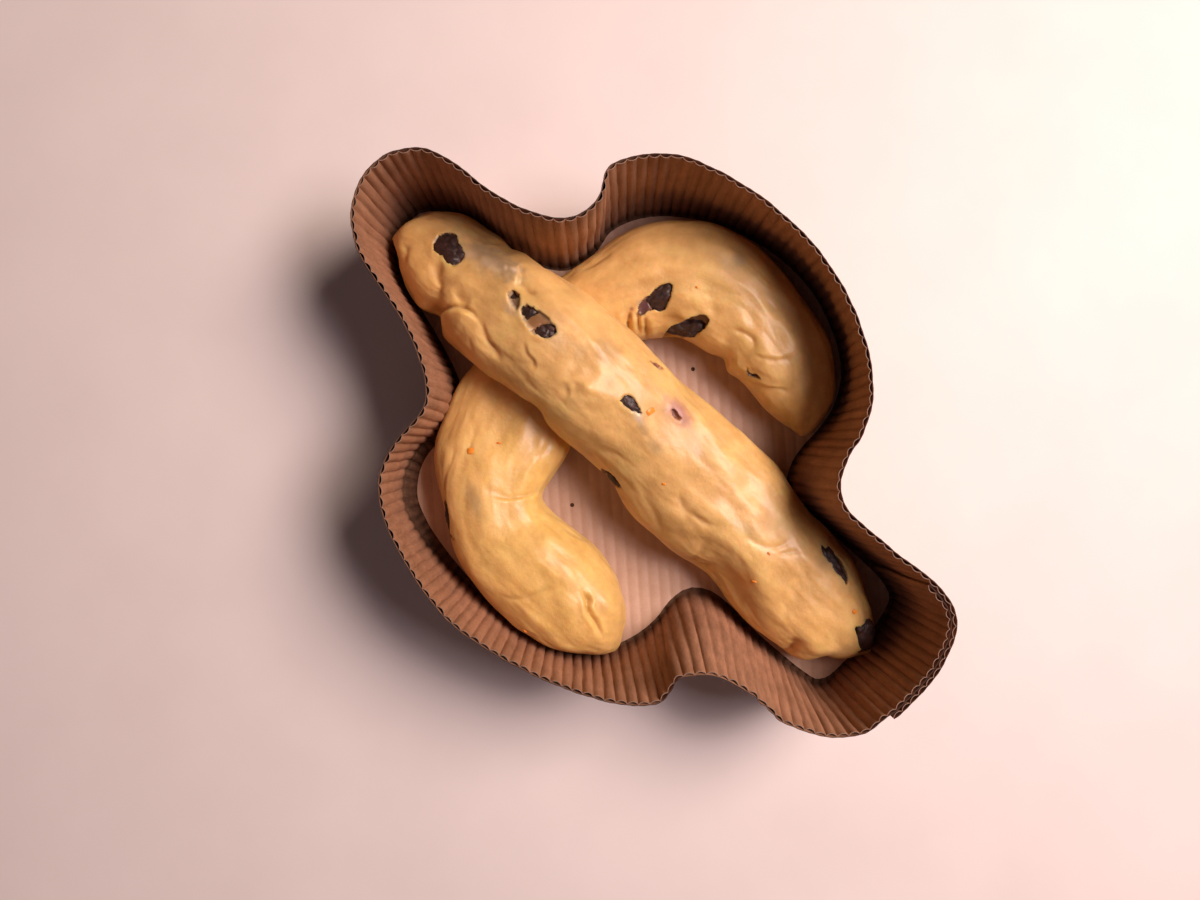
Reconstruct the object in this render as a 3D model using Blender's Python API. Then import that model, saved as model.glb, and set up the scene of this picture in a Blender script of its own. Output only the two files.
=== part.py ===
"""A colomba before baking: two soft dough rolls with raisins, one laid over the other as a dove, in its paper case.

Lengths below are in millimetres and are scaled to metres when a mesh is made. +X runs along the body roll
from the dove's head to its tail, +Y towards one wing, +Z up. The origin is the middle of the underside.
"""

import math

import bmesh
import bpy
import numpy as np
from mathutils import Vector
from mathutils.bvhtree import BVHTree

MM = 0.001

# The case: one strip of single-face corrugated board bent round a flat floor, its ends lapped at the tail.
CASE_HEIGHT = 70.0
LINER = 0.5
FLUTE_DEPTH = 1.4
BOARD = LINER + FLUTE_DEPTH
FLUTE_PITCH = 4.5
LAP_LENGTH = 66.0
LAP_EASE = 14.0
LAP_HEM_CUT = 0.97
HEM_WIDTH = 7.0
HEM_THICK = 1.0
FLOOR_TOP = 2.5
FLOOR_SHEET = 1.0
FLOOR_GAP = 3.0
FLOOR_CORE_INSET = 11.0
FLOOR_STATIONS = 96
VENT_RADIUS = 1.0
VENT_SIDES = 8
VENT_OVERCUT = 2.0
VENTS = ((1.9, -45.9), (-3.1, 39.4))

# How far apart pieces that touch are kept: in general, under the body roll, and round a raisin.
CLEAR = 0.3
SADDLE_CLEAR = 0.4
POCKET_CLEAR = 0.45

# The rim's outer edge, anticlockwise from the strip's outer end on the tail.
RIM = (
    (148.7, -11.5), (149.0, -1.0), (147.3, 14.5), (141.5, 30.0), (134.0, 36.0), (122.0, 37.7),
    (104.6, 35.4), (86.0, 33.5), (76.0, 34.0), (68.5, 39.5), (63.8, 47.5), (61.0, 58.0),
    (53.0, 71.5), (40.5, 82.5), (20.5, 92.0), (-4.0, 97.3), (-30.0, 96.3), (-51.0, 91.3),
    (-66.0, 85.0), (-76.5, 75.5), (-82.6, 64.5), (-82.5, 60.5), (-77.5, 51.0), (-78.2, 41.0),
    (-84.0, 33.5), (-95.0, 27.5), (-110.0, 23.2), (-126.0, 20.8), (-139.0, 16.0), (-146.3, 7.5),
    (-149.0, -1.5), (-147.3, -12.0), (-141.0, -22.5), (-130.0, -29.8), (-112.0, -34.5), (-93.0, -39.2),
    (-78.0, -45.0), (-69.3, -51.8), (-66.7, -60.0), (-66.3, -72.0), (-63.0, -83.5), (-55.0, -93.0),
    (-40.0, -101.0), (-21.0, -105.8), (-3.0, -107.6), (18.0, -105.0), (38.0, -98.8), (58.0, -89.3),
    (72.0, -80.0), (79.0, -71.5), (79.0, -66.0), (77.6, -60.0), (86.0, -49.5), (97.0, -45.0),
    (108.0, -43.3), (117.0, -43.6), (124.0, -40.7), (133.0, -36.3), (141.5, -28.7), (146.7, -19.5),
)

# The foot's outer edge, the same way round: its wings reach further out than the rim's, its notches further in.
FOOT = (
    (149.0, -10.7), (149.2, 5.0), (147.0, 22.0), (141.5, 33.0), (131.0, 36.5), (117.0, 36.0),
    (102.0, 34.5), (87.0, 33.0), (76.5, 32.0), (68.5, 34.5), (64.0, 41.0), (62.0, 50.0),
    (61.5, 61.0), (59.0, 74.0), (52.0, 86.5), (42.0, 95.5), (28.0, 102.5), (12.0, 107.3),
    (-6.0, 108.3), (-24.0, 105.5), (-42.0, 99.0), (-57.0, 90.0), (-68.5, 79.5), (-75.5, 69.0),
    (-79.0, 57.0), (-77.0, 45.5), (-79.3, 33.0), (-88.5, 25.5), (-102.0, 20.5), (-117.5, 18.8),
    (-131.0, 16.0), (-142.0, 9.5), (-148.5, 0.5), (-148.5, -8.5), (-144.0, -18.5), (-135.0, -26.5),
    (-121.0, -32.0), (-104.0, -36.3), (-88.0, -41.0), (-76.5, -46.5), (-70.3, -54.0), (-69.0, -66.0),
    (-69.5, -78.0), (-66.0, -90.0), (-57.0, -101.0), (-44.0, -106.5), (-28.0, -108.6), (-10.0, -108.6),
    (8.0, -107.6), (24.0, -106.2), (38.5, -102.4), (51.5, -96.6), (61.0, -88.0), (66.3, -77.0),
    (69.5, -66.0), (70.3, -55.0), (69.0, -45.0), (70.5, -36.5), (76.5, -31.5), (88.0, -29.7),
    (104.0, -29.8), (120.0, -29.0), (134.0, -27.8), (142.5, -25.8), (147.3, -20.0),
)

# Where the floor sheet stops short of the wall: (x, y) of the middle of the stretch, its reach, the extra gap.
SHEET_SHORT = (((-57.0, -101.0), 75.0, 5.2), ((147.5, 16.0), 62.0, 3.0))

# Each roll is a row of cross-sections: edge on one side, edge on the other, height of its underside and of its top.
BODY = (
    ((-138.3, -7.5), (-134.8, -19.6), 10.0, 29.0),
    ((-136.0, 3.2), (-127.5, -25.0), 4.5, 34.5),
    ((-125.5, 12.0), (-114.5, -29.8), 2.8, 39.0),
    ((-107.0, 16.5), (-100.5, -31.0), 2.8, 43.5),
    ((-84.5, 20.9), (-79.0, -31.2), 9.0, 53.0),
    ((-56.0, 25.6), (-48.0, -27.2), 20.0, 60.0),
    ((-28.0, 27.4), (-24.0, -26.4), 14.0, 58.0),
    ((0.5, 28.8), (1.0, -24.2), 4.0, 50.5),
    ((27.0, 31.4), (25.5, -29.0), 2.8, 45.5),
    ((53.2, 33.2), (49.8, -26.7), 2.8, 43.0),
    ((74.5, 28.8), (65.8, -24.0), 2.8, 41.0),
    ((95.8, 27.2), (87.0, -26.4), 2.8, 39.0),
    ((115.7, 24.5), (106.0, -25.0), 2.8, 36.5),
    ((129.5, 18.0), (122.0, -22.0), 3.0, 31.5),
    ((138.5, 12.0), (132.5, -13.5), 4.0, 26.0),
    ((142.3, 7.2), (139.3, -6.5), 5.5, 20.5),
)
WINGS = (
    ((58.5, -70.5), (58.5, -83.0), 6.0, 21.0),
    ((54.5, -62.0), (52.5, -90.6), 3.3, 29.0),
    ((46.0, -56.8), (42.5, -97.0), 2.8, 34.0),
    ((34.8, -52.6), (27.5, -100.8), 2.8, 36.5),
    ((22.0, -50.8), (12.5, -102.0), 2.8, 37.5),
    ((8.0, -52.2), (-3.5, -101.8), 2.8, 38.0),
    ((-4.0, -53.2), (-19.5, -98.4), 2.8, 36.5),
    ((-11.0, -51.0), (-38.0, -87.5), 2.8, 36.0),
    ((-13.5, -41.0), (-53.0, -78.0), 2.8, 35.0),
    ((-16.5, -28.0), (-63.5, -65.0), 2.8, 33.0),
    ((-26.0, -14.0), (-71.0, -47.0), 2.8, 29.5),
    ((-33.0, 8.0), (-77.0, -18.0), 2.8, 26.5),
    ((-29.7, 28.0), (-76.5, 17.0), 2.8, 28.5),
    ((-23.8, 36.8), (-73.0, 41.0), 2.8, 32.0),
    ((-17.3, 44.0), (-66.3, 61.5), 2.8, 35.5),
    ((-8.7, 46.9), (-53.0, 80.2), 2.8, 38.0),
    ((1.8, 48.9), (-31.5, 92.6), 2.8, 38.5),
    ((11.5, 49.6), (-5.0, 95.3), 2.8, 37.5),
    ((20.5, 49.4), (17.0, 93.6), 2.8, 36.0),
    ((28.5, 48.6), (35.5, 87.0), 2.8, 33.5),
    ((36.5, 48.2), (48.2, 76.8), 2.8, 30.0),
    ((44.5, 48.6), (53.5, 67.0), 3.5, 25.0),
    ((49.5, 50.5), (54.3, 58.5), 6.0, 19.0),
)
BODY_RINGS, WING_RINGS, AROUND = 22, 32, 18
WIDEST_AT = 0.42
END_DOME = 3.4
DOME_ANGLES = (60, 30)
# Below its widest the section is squarer than an ellipse, sideways and downwards.
UNDER_SIDE_POWER, UNDER_DROP_POWER = 0.6, 0.75

# Raisins that show: name, roll, (x, y, z) near it, length, width, thickness, heading in degrees, depth of its middle.
RAISINS = (
    ("raisin_head", "body", (-113.6, -3.1, 41), 17.0, 12.0, 8.5, -15, 1.6),
    ("raisin_neck_a", "body", (-76.1, -0.2, 54), 13.0, 8.0, 7.0, -15, 2.4),
    ("raisin_neck_b", "body", (-66.4, 1.8, 57), 9.5, 7.0, 6.5, 60, 2.0),
    ("raisin_neck_c", "body", (-57.2, 0.4, 60), 11.5, 7.5, 7.0, 25, 2.0),
    ("raisin_breast", "body", (-11.1, 3.5, 55), 12.0, 8.0, 7.0, -5, 2.2),
    ("raisin_back", "body", (4.3, 15.9, 47), 12.0, 8.5, 7.0, 0, 2.8),
    ("raisin_flank", "body", (5.4, -23.5, 30), 12.5, 8.0, 7.0, 0, 2.4),
    ("raisin_side", "body", (-14.5, 24.8, 44), 10.0, 6.5, 6.0, 15, 2.6),
    ("raisin_crook", "body", (-19.0, 27.5, 26), 8.0, 6.0, 6.0, -20, 0.6),
    ("raisin_rump", "body", (99.0, 20.2, 31), 19.0, 8.5, 7.5, -15, 2.2),
    ("raisin_tail", "body", (133.8, 9.0, 24), 16.0, 9.5, 8.0, -15, 2.0),
    ("raisin_wing_a", "wings", (-36.8, 45.7, 35), 17.5, 10.0, 8.0, 85, 2.0),
    ("raisin_wing_b", "wings", (-18.8, 47.2, 32), 19.0, 8.5, 7.5, 60, 2.2),
    ("raisin_wing_c", "wings", (16.5, 52.0, 30), 11.0, 7.0, 6.5, 0, 2.6),
    ("raisin_wing_d", "wings", (-32.0, -88.2, 22), 18.5, 8.0, 6.5, -30, 2.6),
)
LUMPS = 0.09
RAISIN_SEED = 7

KRAFT = ((0.37, 0.19, 0.10), 0.85)
CREAM = ((0.72, 0.52, 0.42), 0.7)
DOUGH = ((0.86, 0.62, 0.26), 0.45)
RAISIN = ((0.035, 0.018, 0.015), 0.5)


def material(name, look):
    colour, roughness = look
    made = bpy.data.materials.new(name)
    made.use_nodes = True
    shader = made.node_tree.nodes["Principled BSDF"]
    shader.inputs["Base Color"].default_value = (*colour, 1.0)
    shader.inputs["Roughness"].default_value = roughness
    shader.inputs["Metallic"].default_value = 0.0
    made.diffuse_color = (*colour, 1.0)
    return made


def add_object(name, points, faces, look, smooth=True):
    """One object from points in millimetres, with its faces turned to point out."""
    mesh = bpy.data.meshes.new(name)
    mesh.from_pydata([tuple(float(v) * MM for v in point) for point in points], [], faces)
    work = bmesh.new()
    work.from_mesh(mesh)
    bmesh.ops.recalc_face_normals(work, faces=work.faces)
    work.to_mesh(mesh)
    work.free()
    if smooth:
        mesh.shade_smooth()
    made = bpy.data.objects.new(name, mesh)
    made.data.materials.append(look)
    bpy.context.scene.collection.objects.link(made)
    return made


def hide_cutter(cutter):
    cutter.hide_render = True
    cutter.display_type = "WIRE"


def cut(target, cutter):
    hide_cutter(cutter)
    boolean = target.modifiers.new(cutter.name, "BOOLEAN")
    boolean.operation = "DIFFERENCE"
    boolean.object = cutter


def spline(rows, closed, per_span=12):
    """Points on a centripetal Catmull-Rom curve through the rows, which may hold any number of values."""
    rows = np.asarray(rows, float)
    count = len(rows)
    if closed:
        padded = np.vstack([rows[-1:], rows, rows[:2]])
    else:
        padded = np.vstack([2 * rows[:1] - rows[1:2], rows, 2 * rows[-1:] - rows[-2:-1]])
    steps = np.linspace(0.0, 1.0, per_span, endpoint=False)[:, None]
    out = []
    for i in range(count if closed else count - 1):
        p0, p1, p2, p3 = padded[i : i + 4]
        gaps = [math.sqrt(max(np.linalg.norm(b - a), 1e-6)) for a, b in ((p0, p1), (p1, p2), (p2, p3))]
        t1 = gaps[0]
        t2 = t1 + gaps[1]
        t3 = t2 + gaps[2]
        t = t1 + steps * gaps[1]
        a1 = (t1 - t) / t1 * p0 + t / t1 * p1
        a2 = (t2 - t) / (t2 - t1) * p1 + (t - t1) / (t2 - t1) * p2
        a3 = (t3 - t) / (t3 - t2) * p2 + (t - t2) / (t3 - t2) * p3
        b1 = (t2 - t) / t2 * a1 + t / t2 * a2
        b2 = (t3 - t) / (t3 - t1) * a2 + (t - t1) / (t3 - t1) * a3
        out.append((t2 - t) / (t2 - t1) * b1 + (t - t1) / (t2 - t1) * b2)
    out.append(rows[:1] if closed else rows[-1:])
    return np.vstack(out)


class Loop:
    """A closed outline that can be read at any fraction of its length."""

    def __init__(self, knots):
        self.points = spline(knots, closed=True)
        steps = np.linalg.norm(np.diff(self.points, axis=0), axis=1)
        self.along = np.concatenate([[0.0], np.cumsum(steps)])
        self.length = self.along[-1]

    def at(self, fraction):
        where = np.mod(fraction, 1.0) * self.length
        return np.column_stack([np.interp(where, self.along, self.points[:, k]) for k in (0, 1)])

    def inward(self, fraction):
        """Unit normals that point to the inside of an anticlockwise outline."""
        reach = 2.0 / self.length
        tangent = self.at(fraction + reach) - self.at(fraction - reach)
        tangent /= np.linalg.norm(tangent, axis=1)[:, None]
        return np.column_stack([-tangent[:, 1], tangent[:, 0]])

def smooth_step(value):
    value = np.clip(value, 0.0, 1.0)
    return value * value * (3.0 - 2.0 * value)


def make_wall(look):
    """The strip: smooth liner outside, flutes inside, its foot turned in under the floor, its last end lapped inside."""
    rim, foot = Loop(RIM), Loop(FOOT)
    lap = LAP_LENGTH / rim.length
    flutes = round(rim.length * (1 + lap) / FLUTE_PITCH)
    fraction = np.linspace(0.0, 1.0 + lap, 2 * flutes + 1)
    crest = np.arange(len(fraction)) % 2
    thick = LINER + FLUTE_DEPTH * crest
    ease = LAP_EASE / rim.length
    inner_layer = smooth_step((fraction - 1.0 + ease) / ease) * (BOARD + CLEAR)
    under_lap = 1.0 - smooth_step((fraction - lap) / ease)
    hem = thick + (HEM_WIDTH - BOARD) * (1.0 - LAP_HEM_CUT * under_lap)

    def ring(loop, depth, height):
        flat = loop.at(fraction) + loop.inward(fraction) * (inner_layer + depth)[:, None]
        return np.column_stack([flat, np.full(len(flat), height)])

    none = np.zeros(len(fraction))
    rings = [
        ring(foot, none, 0.0),
        ring(rim, none, CASE_HEIGHT),
        ring(rim, thick, CASE_HEIGHT),
        ring(foot, thick, HEM_THICK),
        ring(foot, hem, 0.0),
    ]
    count, around = len(fraction), len(rings)
    points = np.concatenate(rings)
    faces = []
    for j in range(around):
        k = (j + 1) % around
        for i in range(count - 1):
            faces.append((j * count + i, j * count + i + 1, k * count + i + 1, k * count + i))
    for i in (0, count - 1):
        faces.append([j * count + i for j in range(around)])
    return add_object("case_wall", points, faces, look, smooth=False)


def make_floor(look):
    """The floor: a sheet whose edge lies on the wall's turned-in foot, on a core that reaches the surface below."""
    foot = Loop(FOOT)
    fraction = np.linspace(0.0, 1.0, FLOOR_STATIONS, endpoint=False)
    edge = foot.at(fraction)
    gap = np.full(FLOOR_STATIONS, FLOOR_GAP)
    for middle, reach, extra in SHEET_SHORT:
        away = np.linalg.norm(edge - np.array(middle), axis=1)
        gap += extra * (1.0 - smooth_step(away / reach))
    inward = foot.inward(fraction)
    sheet = edge + inward * gap[:, None]
    core = edge + inward * FLOOR_CORE_INSET
    count = FLOOR_STATIONS
    rings = [
        (sheet, FLOOR_TOP),
        (sheet, FLOOR_TOP - FLOOR_SHEET),
        (core, FLOOR_TOP - FLOOR_SHEET),
        (core, 0.0),
    ]
    points = np.concatenate([np.column_stack([flat, np.full(count, height)]) for flat, height in rings])
    faces = [list(range(count)), list(range(3 * count, 4 * count))]
    for j in range(len(rings) - 1):
        for i in range(count):
            n = (i + 1) % count
            faces.append((j * count + i, j * count + n, (j + 1) * count + n, (j + 1) * count + i))
    made = add_object("case_floor", points, faces, look, smooth=False)
    for number, (x, y) in enumerate(VENTS):
        turns = np.arange(VENT_SIDES) * math.tau / VENT_SIDES
        ring = np.column_stack([x + VENT_RADIUS * np.cos(turns), y + VENT_RADIUS * np.sin(turns)])
        heights = (-VENT_OVERCUT, FLOOR_TOP + VENT_OVERCUT)
        low, high = [np.column_stack([ring, np.full(VENT_SIDES, z)]) for z in heights]
        around = [(i, (i + 1) % VENT_SIDES) for i in range(VENT_SIDES)]
        sides = [(i, n, VENT_SIDES + n, VENT_SIDES + i) for i, n in around]
        caps = [list(range(VENT_SIDES)), list(range(VENT_SIDES, 2 * VENT_SIDES))]
        cut(made, add_object(f"vent_cutter_{number}", np.vstack([low, high]), sides + caps, look))
    return made


def roll_mesh(sections, rings, grow=0.0):
    """Points and faces of a soft roll: full and round above, flatter where it lies, with domed ends."""
    rows = [(*a, *b, low, high) for a, b, low, high in sections]
    dense = spline(rows, closed=False)
    middle = (dense[:, :2] + dense[:, 2:4]) / 2
    along = np.concatenate([[0.0], np.cumsum(np.linalg.norm(np.diff(middle, axis=0), axis=1))])
    where = np.linspace(0.0, along[-1], rings)
    row = np.column_stack([np.interp(where, along, dense[:, k]) for k in range(6)])
    centre = (row[:, :2] + row[:, 2:4]) / 2
    half = (row[:, :2] - row[:, 2:4]) / 2
    half *= 1 + grow / np.linalg.norm(half, axis=1)[:, None]
    low, high = row[:, 4] - grow, row[:, 5] + grow
    waist = low + WIDEST_AT * (high - low)

    turn = np.arange(AROUND) * math.tau / AROUND
    side, rise = np.cos(turn), np.sin(turn)
    under = rise < 0
    side = np.where(under, np.sign(side) * np.abs(side) ** UNDER_SIDE_POWER, side)
    rise = np.where(under, -(np.abs(rise) ** UNDER_DROP_POWER), rise)

    def ring(i, scale, shift):
        reach = np.where(under, waist[i] - low[i], high[i] - waist[i])
        flat = centre[i] + shift + side[:, None] * half[i] * scale
        return np.column_stack([flat, waist[i] + rise * reach * scale])

    first = centre[0] - centre[1]
    last = centre[-1] - centre[-2]
    first, last = [way / np.linalg.norm(way) * (END_DOME + grow) for way in (first, last)]
    domes = [(math.sin(a), math.cos(a)) for a in map(math.radians, DOME_ANGLES)]
    loops = [ring(0, scale, first * out) for out, scale in domes]
    loops += [ring(i, 1.0, 0.0) for i in range(rings)]
    loops += [ring(-1, scale, last * out) for out, scale in reversed(domes)]
    tips = [
        (*(centre[0] + first), waist[0]),
        (*(centre[-1] + last), waist[-1]),
    ]
    points = np.vstack(loops + [tips])
    faces = []
    for j in range(len(loops) - 1):
        for i in range(AROUND):
            n = (i + 1) % AROUND
            faces.append((j * AROUND + i, j * AROUND + n, (j + 1) * AROUND + n, (j + 1) * AROUND + i))
    start, end = len(loops) * AROUND, len(loops) * AROUND + 1
    base = (len(loops) - 1) * AROUND
    for i in range(AROUND):
        n = (i + 1) % AROUND
        faces.append((start, n, i))
        faces.append((end, base + i, base + n))
    return points, faces


def lumpy_ball(rng):
    """A unit ball of 80 faces with a raisin's uneven bulges."""
    work = bmesh.new()
    bmesh.ops.create_icosphere(work, subdivisions=2, radius=1.0)
    points = np.array([vertex.co[:] for vertex in work.verts])
    faces = [[vertex.index for vertex in face.verts] for face in work.faces]
    work.free()
    points *= 1.0 + LUMPS * rng.uniform(-1.0, 1.0, (len(points), 1))
    return points, faces


def make_raisin(row, surfaces, targets, look, rng):
    """One raisin pressed into its roll, and the pocket that it lies in."""
    name, roll, near, length, width, thick, heading, depth = row
    spot, normal, _, _ = surfaces[roll].find_nearest(Vector(near))
    ahead = Vector((math.cos(math.radians(heading)), math.sin(math.radians(heading)), 0.0))
    ahead = (ahead - normal * ahead.dot(normal)).normalized()
    across = normal.cross(ahead)
    axes = np.array([ahead[:], across[:], normal[:]])
    middle = np.array((spot - normal * depth)[:])
    ball, faces = lumpy_ball(rng)
    for label, extra in ((name, 0.0), (f"{name}_pocket", POCKET_CLEAR)):
        size = np.array([length, width, thick]) / 2 + extra
        made = add_object(label, middle + (ball * size) @ axes, faces, look)
        if extra:
            for target in targets:
                cut(target, made)


def main():
    for old in list(bpy.data.objects):
        bpy.data.objects.remove(old, do_unlink=True)
    kraft = material("kraft_board", KRAFT)
    cream = material("floor_paper", CREAM)
    dough = material("dough", DOUGH)
    fruit = material("raisin", RAISIN)

    make_wall(kraft)
    make_floor(cream)

    wings_points, wings_faces = roll_mesh(WINGS, WING_RINGS)
    body_points, body_faces = roll_mesh(BODY, BODY_RINGS)
    wings = add_object("dough_wings", wings_points, wings_faces, dough)
    body = add_object("dough_body", body_points, body_faces, dough)
    cutter_points, cutter_faces = roll_mesh(WINGS, WING_RINGS, grow=SADDLE_CLEAR)
    cut(body, add_object("body_saddle", cutter_points, cutter_faces, dough))

    surfaces = {
        "wings": BVHTree.FromPolygons([Vector(p) for p in wings_points], wings_faces),
        "body": BVHTree.FromPolygons([Vector(p) for p in body_points], body_faces),
    }
    rng = np.random.default_rng(RAISIN_SEED)
    for row in RAISINS:
        make_raisin(row, surfaces, [{"wings": wings, "body": body}[row[1]]], fruit, rng)


main()
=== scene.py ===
"""Looks for a colomba before baking: two soft dough rolls with raisins in a paper case shaped like a dove.

Lengths are in millimetres and are scaled to metres when a mesh is made. +X runs along the body roll from
the dove's head to its tail, +Y towards one wing, +Z up, as in the CAD frame.
"""

import itertools
import math

import bmesh
import bpy
import numpy as np
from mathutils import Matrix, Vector
from mathutils.bvhtree import BVHTree


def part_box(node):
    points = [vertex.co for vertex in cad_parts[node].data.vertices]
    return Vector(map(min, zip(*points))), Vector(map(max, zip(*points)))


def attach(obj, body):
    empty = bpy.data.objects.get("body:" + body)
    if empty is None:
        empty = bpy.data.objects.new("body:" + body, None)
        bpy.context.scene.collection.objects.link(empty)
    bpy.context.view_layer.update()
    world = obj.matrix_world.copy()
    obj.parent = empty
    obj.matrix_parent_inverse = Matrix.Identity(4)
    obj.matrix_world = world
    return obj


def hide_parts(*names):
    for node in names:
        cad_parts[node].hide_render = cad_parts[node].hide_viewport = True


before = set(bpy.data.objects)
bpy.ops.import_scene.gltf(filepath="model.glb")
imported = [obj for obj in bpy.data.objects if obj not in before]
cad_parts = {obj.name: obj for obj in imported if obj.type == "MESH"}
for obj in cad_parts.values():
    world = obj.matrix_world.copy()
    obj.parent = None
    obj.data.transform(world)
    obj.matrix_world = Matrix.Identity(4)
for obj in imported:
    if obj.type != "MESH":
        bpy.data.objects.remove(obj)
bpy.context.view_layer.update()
MM = 0.001

# ---- sizes of the paper case ----

CASE_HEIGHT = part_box("case_wall")[1].z / MM
FLOOR_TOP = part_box("case_floor")[1].z / MM
LINER = 0.35
MEDIUM = 0.24
FLUTE_DEPTH = 1.5
BOARD = LINER + FLUTE_DEPTH
FLUTE_PITCH = 4.5
FLUTE_ROUND = 0.62
FLUTE_SWAY = 0.10
FLUTE_UNEVEN = 0.12
FLUTE_SAMPLES = 10
LINER_SAMPLES = 4
WALL_ROWS = 14
UPRIGHT_FROM = 3.4
LINER_WASH = 0.06
WALL_WAVE, WALL_DIMPLE = 0.8, 0.35
WALL_STEADY_UNDER = 12.0
BUCKLE_AT, BUCKLE_REACH, BUCKLE_DEPTH = (106.0, -40.0), 9.0, 0.9
LAP_LENGTH = 66.0
LAP_EASE = 14.0
LAP_GAP = 0.3
LAP_TUCK = 0.97
HEM_WIDTH = 9.0
# The strip's foot, from its hem up: inset, height, and how far the board is turned over, 0 to 1.
FOOT_ROWS = (
    (HEM_WIDTH, 0.1, 1.0), (5.6, 0.1, 1.0), (3.2, 0.1, 1.0),
    (1.6, 0.25, 0.75), (0.55, 0.9, 0.4), (0.1, 1.9, 0.12),
)
FLOOR_GAP = 3.0
RIB_PITCH = 4.9
RIB_HEADING = 139.0
RIB_DEPTH = 0.35
SHEET_THICK = 0.9
SHEET_WAVE = 0.12
BACKING_GAP = 0.2
BACKING_DROP = 0.45
CUTTER_REACH = 20.0
VENT_RADIUS = 1.0
VENTS = ((1.9, -45.9), (-3.1, 39.4))

# The rim's outer edge, anticlockwise from the strip's outer end on the tail.
RIM = (
    (148.7, -11.5), (149, -1), (147.3, 14.5), (141.5, 30), (134, 36), (122, 37.7),
    (104.6, 35.4), (86, 33.5), (76, 34), (68.5, 39.5), (63.8, 47.5), (61, 58),
    (53, 71.5), (40.5, 82.5), (20.5, 92), (-4, 97.3), (-30, 96.3), (-51, 91.3),
    (-66, 85), (-76.5, 75.5), (-82.6, 64.5), (-82.5, 60.5), (-77.5, 51), (-78.2, 41),
    (-84, 33.5), (-95, 27.5), (-110, 23.2), (-126, 20.8), (-139, 16), (-146.3, 7.5),
    (-149, -1.5), (-147.3, -12), (-141, -22.5), (-130, -29.8), (-112, -34.5), (-93, -39.2),
    (-78, -45), (-69.3, -51.8), (-66.7, -60), (-66.3, -72), (-63, -83.5), (-55, -93),
    (-40, -101), (-21, -105.8), (-3, -107.6), (18, -105), (38, -98.8), (58, -89.3),
    (72, -80), (79, -71.5), (79, -66), (77.6, -60), (86, -49.5), (97, -45),
    (108, -43.3), (117, -43.6), (124, -40.7), (133, -36.3), (141.5, -28.7), (146.7, -19.5),
)

# The foot's outer edge, the same way round. Its wings reach further out than the rim's.
FOOT = (
    (149, -10.7), (149.2, 5), (147, 22), (141.5, 33), (131, 36.5), (117, 36),
    (102, 34.5), (87, 33), (76.5, 32), (68.5, 34.5), (64, 41), (62, 50),
    (61.5, 61), (59, 74), (52, 86.5), (42, 95.5), (28, 102.5), (12, 107.3),
    (-6, 108.3), (-24, 105.5), (-42, 99), (-57, 90), (-68.5, 79.5), (-75.5, 69),
    (-79, 57), (-77, 45.5), (-79.3, 33), (-88.5, 25.5), (-102, 20.5), (-117.5, 18.8),
    (-131, 16), (-142, 9.5), (-148.5, 0.5), (-148.5, -8.5), (-144, -18.5), (-135, -26.5),
    (-121, -32), (-104, -36.3), (-88, -41), (-76.5, -46.5), (-70.3, -54), (-69, -66),
    (-69.5, -78), (-66, -90), (-57, -101), (-44, -106.5), (-28, -108.6), (-10, -108.6),
    (8, -107.6), (24, -106.2), (38.5, -102.4), (51.5, -96.6), (61, -88), (66.3, -77),
    (69.5, -66), (70.3, -55), (69, -45), (70.5, -36.5), (76.5, -31.5), (88, -29.7),
    (104, -29.8), (120, -29), (134, -27.8), (142.5, -25.8), (147.3, -20),
)

# Where the floor sheet stops short of the wall: the middle of the stretch, its reach, the extra gap.
SHEET_SHORT = (((-57.0, -101.0), 75.0, 5.2), ((147.5, 16.0), 62.0, 3.0))

# ---- sizes of the dough ----

# Each roll is a row of cross-sections: its two edges, and the heights of its underside and of its top.
BODY = (
    ((-138.3, -7.5), (-134.8, -19.6), 10, 29),
    ((-136, 3.2), (-127.5, -25), 4.5, 34.5),
    ((-125.5, 12), (-114.5, -29.8), 2.8, 39),
    ((-107, 16.5), (-100.5, -31), 2.8, 43.5),
    ((-84.5, 20.9), (-79, -31.2), 9, 53),
    ((-56, 25.6), (-48, -27.2), 20, 60),
    ((-28, 27.4), (-24, -26.4), 14, 58),
    ((0.5, 28.8), (1, -24.2), 4, 50.5),
    ((27, 31.4), (25.5, -29), 2.8, 45.5),
    ((53.2, 33.2), (49.8, -26.7), 2.8, 43),
    ((74.5, 28.8), (65.8, -24), 2.8, 41),
    ((95.8, 27.2), (87, -26.4), 2.8, 39),
    ((115.7, 24.5), (106, -25), 2.8, 36.5),
    ((129.5, 18), (122, -22), 3, 31.5),
    ((138.5, 12), (132.5, -13.5), 4, 26),
    ((142.3, 7.2), (139.3, -6.5), 5.5, 20.5),
)
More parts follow.
